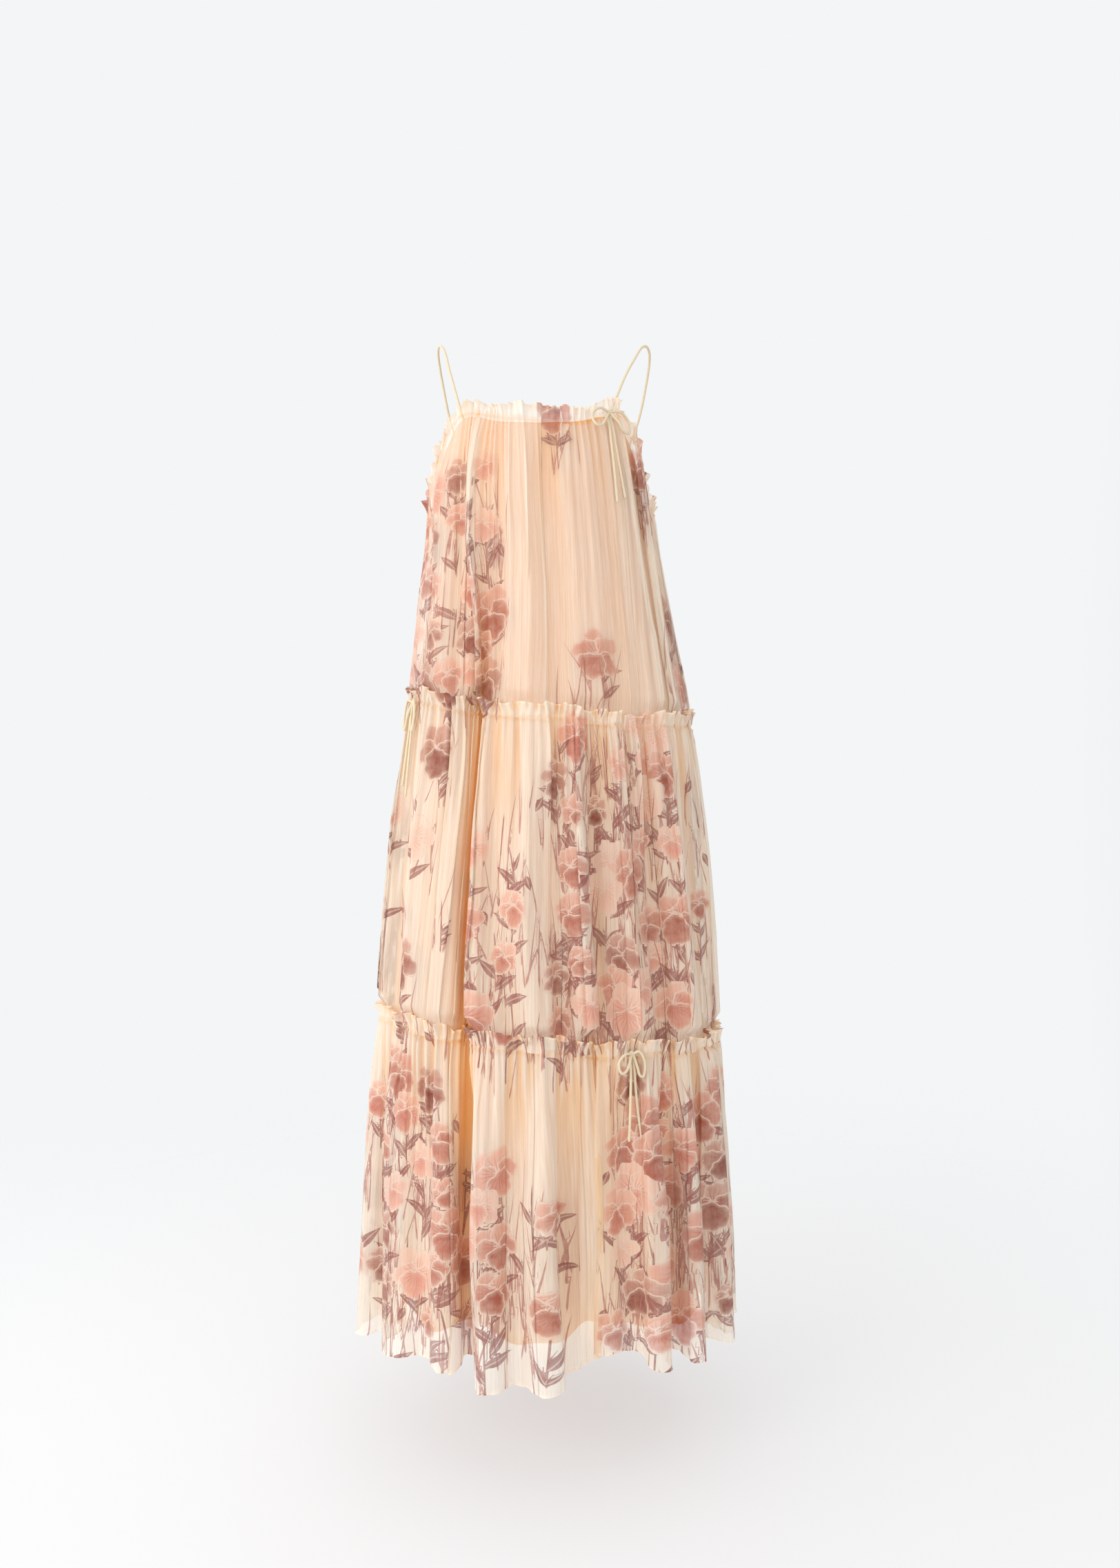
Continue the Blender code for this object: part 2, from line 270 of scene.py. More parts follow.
PANEL_OVERHANG = 1.0  # degrees of base curve kept beyond each side seam
BASE_STEPS = 728  # along the base curve of a panel
LONGEST_WAVE = 0.11  # of cloth that is pleated; anything longer follows the main folds
THREAD_REACH = 0.02  # within which the threads' usual places are smoothed
STEEPEST_WAVE = 1.9  # radians that a soft wave turns the cloth at most
HEADER_ROWS = 13
ROW_CROWDING = 1.25  # above 1, rows are closer together by the drawstring
# A back panel's mesh: shares of the front's columns and rows, and what is added to its seed
BACK_COLUMNS, BACK_ROWS, BACK_SEED = 0.72, 0.85, 500

# Distances below the drawstring at which a soft wave's steepness is given
WAVE_DROPS = (0.0, 0.025, 0.07, 0.16, 0.38)
# Tiers.
# lines: at the top and the bottom
# mesh: columns and rows of a front panel
# past_seam: how far the cloth runs on below the next drawstring
# seam_raise: how far its drawstring pulls the seam up
# waves: soft waves, with a wave's width on the flat cloth and its steepness in radians at WAVE_DROPS
# wave_share: distance below the drawstring, share of the gathering that the waves take up there
# tuck_spacing: on the flat cloth
# seam_shade: how much painted shade, a warmer peach, is laid along the seam under the drawstring
# layers: how much of the cloth lies double, and so how little it lets through
# deeper: how many times further in than on the upper tier a valley may reach, as the slip hangs further off
TIERS = {
    "upper": dict(
        lines=(neck_drop, hip_drop),
        mesh=(470, 150),
        seed=11,
        past_seam=0.004,
        seam_raise=0.0045,
        waves=(
            (0.0125, 1.35, 0.95, 0.45, 0.20, 0.12),
            (0.034, 0.30, 0.42, 0.34, 0.24, 0.20),
            (0.085, 0.08, 0.12, 0.18, 0.24, 0.28),
        ),
        wave_share=((-0.017, 0.97), (0.0, 0.88), (0.03, 0.65), (0.08, 0.42), (0.2, 0.34)),
        tuck_spacing=0.0210,
        seam_shade=0.9,
        layers=0.78,
        deeper=1.0,
    ),
    "middle": dict(
        lines=(hip_drop, knee_drop),
        mesh=(530, 160),
        seed=23,
        past_seam=0.004,
        seam_raise=0.0,
        waves=(
            (0.0135, 1.35, 1.10, 0.60, 0.26, 0.12),
            (0.036, 0.30, 0.45, 0.38, 0.28, 0.22),
            (0.090, 0.10, 0.18, 0.30, 0.46, 0.56),
        ),
        wave_share=((-0.017, 0.97), (0.0, 0.88), (0.03, 0.66), (0.08, 0.50), (0.2, 0.54), (0.38, 0.64)),
        tuck_spacing=0.0250,
        seam_shade=0.3,
        layers=1.1,
        deeper=1.3,
    ),
    "lower": dict(
        lines=(knee_drop, hem_drop),
        mesh=(560, 160),
        seed=37,
        past_seam=0.0,
        seam_raise=0.0,
        waves=(
            (0.0140, 1.35, 1.05, 0.50, 0.16, 0.07),
            (0.040, 0.30, 0.45, 0.36, 0.26, 0.20),
            (0.098, 0.10, 0.22, 0.45, 0.74, 0.95),
        ),
        wave_share=((-0.017, 0.97), (0.0, 0.88), (0.03, 0.68), (0.08, 0.58), (0.2, 0.68), (0.38, 0.80)),
        tuck_spacing=0.0320,
        seam_shade=0.3,
        layers=1.25,
        deeper=2.0,
    ),
}
RAISE_ANGLE, RAISE_SPREAD = -32, 24  # where a drawstring pulls its seam up, in degrees

# Tucks, the narrow folds that lie flat: distance below the drawstring, how far a tuck turns back there
TUCK_TURN = ((-0.017, 1.3), (0.0, 1.5), (0.03, 2.2), (0.08, 2.75), (0.2, 2.85))
TUCK_BEND = 0.0022  # of cloth in the bend at each edge of a tuck
TUCK_BREADTH = 0.001  # half of a usual tuck's, before a row's tucks are scaled to take up its cloth
TUCK_FAINT = 0.0008  # half breadth below which a tuck turns back less
TUCK_ROOM = 0.44  # share of the gap to the next tuck that half a tuck may take
TUCK_SPREAD = 0.55  # of the random sizes
LARGEST_TUCK = 1.7  # times a usual one
ONE_WAY = 0.72  # share of the tucks that turn the way that alternates along the row

# Lift of the cloth off the form, by the distance below its drawstring
LIFTS = (
    (-0.017, 0.0074), (-0.009, 0.0044), (0.0, 0.0022), (0.004, 0.0030),
    (0.008, 0.0022), (0.02, 0.0030), (0.06, 0.0032),
)
# How close to the slip the cloth may lie, from the form, by the distance below its drawstring
CLOSEST = ((-0.017, -0.003), (0.0, -0.0012), (0.03, -0.0026), (0.1, -0.0045), (0.25, -0.006), (0.4, -0.0075))
VALLEY_EASE = 0.001
# Even waves: what is added to the seed, height, width on the flat cloth, stray, spacing of the strays
FRILL_WAVES = ((40, 0.0032, 0.0125, 0.6, 0.03), (46, 0.0036, 0.033, 0.6, 0.07))
HEM_WAVES = ((41, 0.0014, 0.017, 0.4, 0.05),)
# Uneven edges: what is added to the seed, distance up or down, spacing
FRILL_EDGE = ((42, 0.0028, 0.012), (43, 0.0032, 0.035))
SEAM_EDGE = ((45, 0.0032, 0.045),)
HEM_EDGE = ((44, 0.002, 0.06),)
SIDE_FLAT = 0.008  # of cloth beside a side seam that flattens out
FRILL_CALM = 0.35  # share of the gathers that is lost at a frill's edge
PINCH_DROP, PINCH_REACH, PINCH_CALM = 0.0005, 0.0022, 0.55  # where and how much a drawstring flattens them
UNDER, UNDER_FADE, UNDER_CALM, UNDER_IN = 0.034, 0.012, 0.72, 0.0012  # a tier's end, under the next frill
HEM_REACH = 0.006
SEAM_REACH = 0.07  # below a drawstring, of the places that go up and down with it
SEAM_IN_FOLDS, HEM_IN_WAVES = 0.26, 0.3  # how far a seam goes down for each metre in, and a hem out
FOLD_SHADE_DEPTH, SLIP_SHADE_DEPTH, CREASE_SHADE_DEPTH = 0.024, 0.022, 0.0045  # depths at which the painted shade is at its fullest


def wander(seed, places, spacing):
    """Seeded random values between -1 and 1, a spacing apart, joined smoothly."""
    knots = np.random.default_rng(seed).uniform(-1, 1, int(np.max(places) / spacing) + 4)
    at = places / spacing + 1
    low = at.astype(int)
    s = at - low
    s = s * s * (3 - 2 * s)
    return knots[low] * (1 - s) + knots[low + 1] * s


def joined(count, places, spacing):
    """Weights that join knots a spacing apart smoothly: one row a place."""
    at = places / spacing + 0.5
    low = np.minimum(at.astype(int), count - 2)
    s = np.clip(at - low, 0, 1)
    s = s * s * (3 - 2 * s)
    weights = np.zeros((len(places), count))
    rows = np.arange(len(places))
    weights[rows, low] = 1 - s
    weights[rows, low + 1] += s
    return weights


def patches(seed, down, along, spacing_down, spacing_along):
    """Seeded random values over the cloth, smooth in both directions."""
    counts = int(down.max() / spacing_down) + 3, int(along.max() / spacing_along) + 3
    knots = np.random.default_rng(seed).uniform(-1, 1, counts)
    return joined(counts[0], down, spacing_down) @ knots @ joined(counts[1], along, spacing_along).T


def even_waves(seed, flat, rows):
    """Waves along the cloth that stray from an even beat, summed over a table's rows."""
    return sum(
        height * np.sin(2 * math.pi * (flat / width + stray * wander(seed + add, flat, spacing)))
        for add, height, width, stray, spacing in rows
    )


def uneven_edge(seed, flat, rows):
    """Seeded ups and downs along the cloth, summed over a table's rows."""
    return sum(size * wander(seed + add, flat, spacing) for add, size, spacing in rows)


def by_drop(below, rows):
    """What a table gives at each distance below the drawstring."""
    return np.interp(below, *zip(*rows))


def hill(away, reach):
    """1 where there is no distance, and less the further away."""
    return np.exp(-((away / reach) ** 2))


def running_mean(rows, reach):
    """Mean of each value's neighbours along a row, within the reach on both sides."""
    padded = np.pad(rows, ((0, 0), (reach + 1, reach)), mode="reflect")
    total = np.cumsum(padded, axis=1)
    return (total[:, 2 * reach + 1 :] - total[:, : -2 * reach - 1]) / (2 * reach + 1)


def as_share(rows):
    """Rows of growing values, taken to start at 0 and end at 1."""
    return (rows - rows[:, :1]) / (rows[:, -1:] - rows[:, :1])


def take_up(turning, wanted, most):
    """Turns of the cloth, scaled by up to the most, so that its mean way along each row is the wanted one."""
    low, high = np.zeros(len(wanted)), np.full(len(wanted), float(most))
    for _ in range(20):
        scale = (low + high) / 2
        too_long = np.cos(turning(scale[:, None])).mean(axis=1) > wanted
        low, high = np.where(too_long, scale, low), np.where(too_long, high, scale)
    return turning(((low + high) / 2)[:, None])


def soft_waves(seed, tier, below, flat, wanted):
    """Turns of the cloth in its soft waves, in radians, which take up their share of the gathering."""
    down = below - below[0]
    waving = 0
    for index, (width, *steepness) in enumerate(tier["waves"]):
        phase = 2 * math.pi * (flat / width + 0.42 * wander(seed + index, flat, 3 * width))
        uneven = 1 + 0.75 * patches(seed + 10 + index, down, flat, 0.3, 4 * width)
        shift = 0.5 * patches(seed + 20 + index, down, flat, 0.16, 3 * width)
        waving = waving + np.interp(below, WAVE_DROPS, steepness)[:, None] * uneven * np.sin(phase + shift)
    wanted = 1 - by_drop(below, tier["wave_share"]) * (1 - wanted)
    return take_up(lambda scale: STEEPEST_WAVE * np.tanh(scale * waving / STEEPEST_WAVE), wanted, 3)


def tucked_waves(seed, tier, below, flat, wanted):
    """Turns of the cloth with tucks in its soft waves, as broad as each row needs to take up its width."""
    waving = soft_waves(seed, tier, below, flat, wanted)
    down = below - below[0]
    width = flat[-1]
    rng = np.random.default_rng(seed + 60)
    count = int(width / tier["tuck_spacing"])
    centres = (np.arange(count) + rng.uniform(0.08, 0.92, count)) * width / count
    crowds = np.clip(0.85 + 1.4 * wander(seed + 61, centres, 0.06), 0.06, None)
    sizes = np.minimum(rng.lognormal(0, TUCK_SPREAD, count) * crowds, LARGEST_TUCK)
    ends = down[-1] * rng.uniform(0.45, 2.4, count)
    side = np.where(rng.random(count) < ONE_WAY, 1, -1) * (-1) ** np.arange(count)
    gaps = np.minimum(np.diff(centres, prepend=-centres[0]), np.diff(centres, append=2 * width - centres[-1]))
    nearest = np.abs(flat[:, None] - centres).argmin(axis=1)
    fade = np.clip(1.15 - down[:, None] / ends, 0, 1) ** 0.8
    stray = 0.0016 * patches(seed + 62, down, flat, 0.12, tier["tuck_spacing"])
    away = np.abs(flat - centres[nearest] + stray)
    room = TUCK_ROOM * gaps[nearest]
    turn = (by_drop(below, TUCK_TURN)[:, None] * side)[:, nearest]
    breadth = TUCK_BREADTH * (sizes * fade)[:, nearest]

    def turning(scale):
        folded = np.clip((np.minimum(scale * breadth, room) - away) / TUCK_BEND + 0.5, 0, 1)
        folded = folded * np.clip(scale * breadth / TUCK_FAINT, 0, 1)
        return waving * (1 - folded) + turn * folded

    return take_up(turning, wanted, 12)


def pleats(seed, tier, below, flat, lengths):
    """Pleat the cloth along each row, so that its flat width takes up just the row's length.

    Returns how far along the row, as a share, and how far off it in metres every point lies.
    """
    turned = tucked_waves(seed, tier, below, flat, lengths / flat[-1])
    step = flat[1] - flat[0]
    along = as_share(np.cumsum(np.cos(turned), axis=1))
    off = np.cumsum(np.sin(turned), axis=1) * step
    reach = int(LONGEST_WAVE / 2 / step)
    # Threads hang straight down: what is left of the rows' own drift is taken out
    usual = as_share(running_mean(along.mean(axis=0)[None, :], int(THREAD_REACH / step)))
    drift = along - usual
    along = usual + drift - running_mean(drift, reach)
    return along, off - running_mean(off, reach)


def row_length(base):
    """Length of each row's base curve between the side seams."""
    step = np.hypot(np.diff(base[:, :, 0], axis=1), np.diff(base[:, :, 1], axis=1))
    return step.sum(axis=1) * 180 / (180 + 2 * PANEL_OVERHANG)


def outward(base):
    """Level unit normals of the rows' base curves."""
    tangent = np.gradient(base, axis=1)
    length = np.hypot(tangent[..., 0], tangent[..., 1])
    return np.stack((tangent[..., 1] / length, -tangent[..., 0] / length, 0 * length), axis=-1)


def on_rows(base, along, off):
    """Points of the pleated cloth on the rows' base curves, and how far round the panel each one lies."""
    places = np.empty((*along.shape, 3))
    turned = np.empty(along.shape)
    normal = outward(base)
    index = np.arange(BASE_STEPS + 1)
    start = PANEL_OVERHANG * BASE_STEPS / (180 + 2 * PANEL_OVERHANG)
    end = BASE_STEPS - start
    for row in range(len(base)):
        step = np.hypot(*np.diff(base[row, :, :2], axis=0).T)
        arc = np.concatenate(([0], np.cumsum(step)))
        first, last = np.interp([start, end], index, arc)
        at = np.interp(first + (last - first) * along[row], arc, index)
        turned[row] = (at - start) / (end - start) * 180
        for axis in range(3):
            curve, out = (np.interp(at, index, values[row, :, axis]) for values in (base, normal))
            places[row, :, axis] = curve + off[row] * out
    return places, turned


def grid_sheet(name, places, flat, drops):
    """A sheet of cloth through rows of points, with its flat places as its UV map, in metres."""
    rows, columns = places.shape[:2]
    bpy.ops.mesh.primitive_grid_add(
        x_subdivisions=columns - 1, y_subdivisions=rows - 1, size=1, calc_uvs=True
    )
    piece = bpy.context.object
    piece.name = name
    mesh = piece.data
    mesh.name = name
    start = np.empty(len(mesh.vertices) * 3, np.float32)
    mesh.vertices.foreach_get("co", start)
    start = start.reshape(-1, 3)
    column = np.rint((start[:, 0] + 0.5) * (columns - 1)).astype(int)
    row = rows - 1 - np.rint((start[:, 1] + 0.5) * (rows - 1)).astype(int)
    mesh.vertices.foreach_set("co", places[row, column].astype(np.float32).ravel())
    corner = np.empty(len(mesh.loops), np.int32)
    mesh.loops.foreach_get("vertex_index", corner)
    uv = np.stack((np.broadcast_to(flat, (rows, columns))[row, column], -drops[row, column]), axis=-1)
    mesh.uv_layers[0].data.foreach_set("uv", uv[corner].astype(np.float32).ravel())
    mesh.update()
    mesh.shade_smooth()
    piece.select_set(False)
    return piece, (row, column)


# How an attribute is kept, by how many numbers a point has
ATTRIBUTES = {1: ("FLOAT", "value"), 3: ("FLOAT_VECTOR", "vector"), 4: ("FLOAT_COLOR", "color")}


def keep_values(piece, order, name, values):
    """Store values over the cloth as an attribute that its material reads."""
    kind, slot = ATTRIBUTES[values.shape[2] if values.ndim == 3 else 1]
    attribute = piece.data.attributes.new(name, kind, "POINT")
    attribute.data.foreach_set(slot, values[order].astype(np.float32).ravel())


def tier_rows(rows, past_seam):
    """Share of the way down and extra drop of each row of a tier."""
    header = [(0.0, -HEADER * (1 - i / HEADER_ROWS)) for i in range(HEADER_ROWS)]
    body = [((i / rows) ** ROW_CROWDING, 0.0) for i in range(rows + 1)]
    table = np.array(header + body + ([(1.0, past_seam)] if past_seam else []))
    return table[:, :1], table[:, 1:]


def gathered(tier, seed, below, flat, base):
    """How far along and off its rows a tier's cloth lies, and where it would lie without its gathers."""
    along, off = pleats(seed, tier, below[:, 0], flat, row_length(base))
    off *= np.clip(np.minimum(flat, flat[-1] - flat) / SIDE_FLAT, 0, 1)
    lift = by_drop(below, LIFTS)
    frill = np.clip(-below / HEADER, 0, 1)
    off = off * (1 - FRILL_CALM * frill) + frill**1.3 * even_waves(seed, flat, FRILL_WAVES)
    off *= 1 - PINCH_CALM * hill(below - PINCH_DROP, PINCH_REACH)
    from_end = below - below[-1]
    if tier["past_seam"]:
        under = np.clip((from_end + UNDER) / UNDER_FADE, 0, 1)
        off = off * (1 - UNDER_CALM * under)
        lift = lift * (1 - under) - UNDER_IN * under
    else:
        near = np.clip((from_end + HEM_REACH) / HEM_REACH, 0, 1) ** 2
        off = off + near * even_waves(seed, flat, HEM_WAVES)
    return along, off, lift


def above_slip(out):
    """Distances from the slip, with the valleys eased out to where the cloth is kept clear of it."""
    eased = VALLEY_EASE * np.exp(np.clip(out / VALLEY_EASE - 2, -20, 0)) + VALLEY_EASE
    return np.where(out > 2 * VALLEY_EASE, out, eased)


def shade_tier(piece, order, tier, below, drops, folds, creases):
    """Keep how much of the light each point of a tier stops, and how much painted shade it gets: a warmer
    peach in the main folds, the gathers' valleys and the seam, and a light tint on the frill.
    """
    # The header and the edges are doubled, and nothing lies behind the cloth below the slip
    cover = tier["layers"] + 0.3 * np.clip(-below / 0.0012, 0, 1) + 1.2 * hill(below - below[0], 0.0016)
    if not tier["past_seam"]:
        cover = cover + 1.6 * hill(below[-1] - below, 0.0022)
    keep_values(piece, order, "cover", cover * np.interp(drops, (SLIP_HEM - 0.02, SLIP_HEM), (1, 0.75)))
    # Painted shade: the main folds, the valleys of the gathers and the seam under the drawstring are painted
    # a warmer peach; the frill gets a light tint of it
    depth = np.clip(folds / FOLD_SHADE_DEPTH, 0, 1) ** 1.5 * np.interp(drops, (0.88, 1.0, 1.2), (1, 0.85, 0.5))
    seam = hill(below - 0.0026, 0.0034)
    creases = np.clip(creases / CREASE_SHADE_DEPTH, 0, 1) * np.clip(1.1 - below / 0.16, 0.2, 1)
    frill = np.clip(-below / HEADER, 0, 1)
    painted_shade_and_tint = np.clip(0.9 * depth + tier["seam_shade"] * seam + 0.55 * creases + 0.12 * frill, 0, 1)
    keep_values(piece, order, "painted_shade_and_tint", painted_shade_and_tint)


def tier_panel(name, tier, side, width):
    """One gathered half of a tier, from its frilled header to its lower edge."""
    centre = 0 if side == "front" else 180
    (columns, rows), seed = tier["mesh"], tier["seed"]
    if side == "back":
        columns, rows, seed = int(columns * BACK_COLUMNS), int(rows * BACK_ROWS), seed + BACK_SEED
    angle = np.linspace(centre - 90 - PANEL_OVERHANG, centre + 90 + PANEL_OVERHANG, BASE_STEPS + 1)
    top, bottom = (line(angle) for line in tier["lines"])
    share, extra = tier_rows(rows, tier["past_seam"])
    drop = top * (1 - share) + bottom * share + extra
    length = np.mean(bottom - top)
    below = share * length + extra
    base = outer_point(angle[None, :], drop, 0.0)
    flat = np.linspace(0, width, columns + 1)
    along, off, lift = gathered(tier, seed, below, flat, base)
    lowest = tier["deeper"] * by_drop(below, CLOSEST)
    out = lowest + above_slip(off + lift - lowest)
    places, turned = on_rows(base, along, out)
    angle_at = turned + centre - 90

    # The frill's edge is uneven, the seam goes down in the main folds, and a free hem swings
    frill = np.clip(-below / HEADER, 0, 1)
    sink = uneven_edge(seed, flat, SEAM_EDGE) - SEAM_IN_FOLDS * fold_depth(angle_at, drop.mean(), 0)
    sink += tier["seam_raise"] * hill(angle_at - RAISE_ANGLE, RAISE_SPREAD) * (1 - frill)
    by_seam = np.clip(1 - below / SEAM_REACH, 0, 1) ** 2
    places[:, :, 2] += uneven_edge(seed, flat, FRILL_EDGE) * frill + sink * by_seam
    if not tier["past_seam"]:
        swing = HEM_IN_WAVES * running_mean(off, int(0.016 / flat[1])) + uneven_edge(seed, flat, HEM_EDGE)
        places[:, :, 2] -= np.clip(below / below[-1], 0, 1) ** 3 * swing

    drops = -places[:, :, 2]
    piece, order = grid_sheet(f"{name}_cloth", places, flat, drops)
    shade_tier(piece, order, tier, below, drops, fold_depth(angle_at, drops, 0), lift - out)
    print_on(piece, order, seed, centre, flat, np.maximum.accumulate(angle_at.mean(axis=0)), drops)
    tall = float(np.max(bottom - top) - extra[0, 0] + extra[-1, 0])
    return piece, (width, tall), width * float(length - extra[0, 0] + extra[-1, 0])


def slip_panel(name, centre):
    """One half of the slip, inside the tiers."""
    columns, rows = 150, 110
    angle = np.linspace(centre - 90, centre + 90, columns + 1)
    share = np.linspace(0, 1, rows + 1)[:, None]
    hem = SLIP_HEM + 0.004 * np.sin(np.radians(angle) * 9 + 1.0) + 0.003 * np.sin(np.radians(angle) * 23)
    hem = hem - HEM_RISE * fold_depth(angle, SLIP_HEM, SLIP_SPREAD)
    drop = (neck_drop(angle) + 0.003) * (1 - share) + hem * share
    folds = fold_depth(angle, drop, SLIP_SPREAD)
    wrinkle = 0.0008 * patches(60 + centre, share[:, 0] * 1.1, angle - angle[0], 0.25, 5.0)
    out = wrinkle * np.minimum(1, share * 4) - by_drop(share, SLIP_INSETS) - folds
    places = form_point(angle[None, :], drop, out)
    lengths = np.hypot(np.diff(places[..., 0], axis=1), np.diff(places[..., 1], axis=1)).sum(axis=1)
    width = float(lengths.max())
    piece, order = grid_sheet(name, places, np.linspace(0, width, columns + 1), drop)
    # Painted shade: the slip is painted a warmer peach deep in its main folds, and fully so in a narrow band
    # at its hem
    painted_shade_and_tint = 0.92 * np.clip(folds / SLIP_SHADE_DEPTH, 0, 1) * np.interp(drop, (0.88, 1.0, 1.2), (1, 0.85, 0.4))
    keep_values(piece, order, "painted_shade_and_tint", np.maximum(painted_shade_and_tint, np.exp((drop - hem) / 0.004)))
    tall = drop[-1] - drop[0]
    return piece, (width, float(tall.max())), float(np.mean(lengths) * np.mean(tall))


# Print

# Where the print grows on each tier: angle, half its breadth, drops of the highest and lowest plant, how many
# plants in flower and how many not
BEDS = (
    (-40, 21, 0.190, 0.465, 16, 8),
    (-76, 11, 0.200, 0.470, 8, 4),
    (5, 2, 0.118, 0.122, 1, 0),
    (20, 2, 0.425, 0.435, 1, 1),
    (68, 12, 0.160, 0.230, 3, 4),
    (78, 9, 0.360, 0.460, 2, 3),
    (14, 15, 0.520, 0.880, 17, 18),
    (38, 10, 0.500, 0.860, 12, 12),
    (-20, 8, 0.620, 0.870, 6, 7),
    (-50, 12, 0.540, 0.860, 3, 3),
    (70, 12, 0.560, 0.860, 3, 4),
    (-82, 7, 0.580, 0.820, 3, 3),
    (-48, 12, 0.930, 1.240, 15, 16),
    (-24, 9, 1.020, 1.240, 8, 8),
    (-74, 10, 0.980, 1.220, 5, 6),
    (34, 12, 0.930, 1.240, 16, 18),
    (56, 11, 0.960, 1.230, 9, 8),
    (-3, 5, 1.040, 1.100, 1, 1),
    (-4, 5, 1.120, 1.200, 1, 2),
    (80, 8, 1.080, 1.240, 3, 4),
    (120, 22, 0.280, 0.450, 6, 6),
    (-135, 25, 0.270, 0.450, 8, 8),
    (178, 12, 0.300, 0.440, 3, 3),
    (130, 30, 0.540, 0.860, 20, 18),
    (-160, 24, 0.520, 0.860, 18, 16),
    (-110, 14, 0.600, 0.860, 6, 6),
    (115, 20, 0.960, 1.230, 13, 14),
    (165, 20, 0.960, 1.240, 18, 18),
    (-130, 30, 0.950, 1.240, 22, 20),
)
# Petals from the back one to the front one: distance and direction from the flower's middle, half length,
# half breadth, tone
PETALS = (
    (0.44, 128, 0.56, 0.52, 0.10),
    (0.44, 56, 0.58, 0.52, 0.00),
    (0.47, 188, 0.50, 0.44, 0.45),
    (0.47, -6, 0.50, 0.44, 0.55),
    (0.44, -92, 0.52, 0.56, 0.80),
)


def linear(hex_colour):
    """An sRGB hex colour in linear light."""
    parts = [int(hex_colour[i : i + 2], 16) / 255 for i in (1, 3, 5)]
    return [c / 12.92 if c <= 0.04045 else ((c + 0.055) / 1.055) ** 2.4 for c in parts]


# Inks of the flowers from the rear petals to the front one: two ends, and the ink's strength
FLOWER_INKS = (
    ("#F1AF97", "#DE816B", 0.74),
    ("#E6967C", "#C2644E", 0.88),
    ("#D68068", "#A65440", 0.94),
    ("#BA6F5B", "#8A4839", 0.97),
    ("#F5C6AE", "#EEAA94", 0.62),
)
FLOWER_SHARES = (0.17, 0.25, 0.27, 0.24, 0.07)
LONE_INK = 2  # a flower that stands alone is printed deep
INK_EDGE = 0.0016  # breadth of a petal's soft edge
RIM_REACH = 0.0034  # of a petal's edge, within which its pale rim may be drawn
STROKE_REACH = 0.0031  # outside a stroke, within which its edge may be drawn
NO_STROKE = -0.1  # score of a place that no stroke reaches


def rotated(x, y, degrees):
    """Places along axes that are turned by an angle."""
    turn = math.radians(degrees)
    return x * math.cos(turn) + y * math.sin(turn), y * math.cos(turn) - x * math.sin(turn)


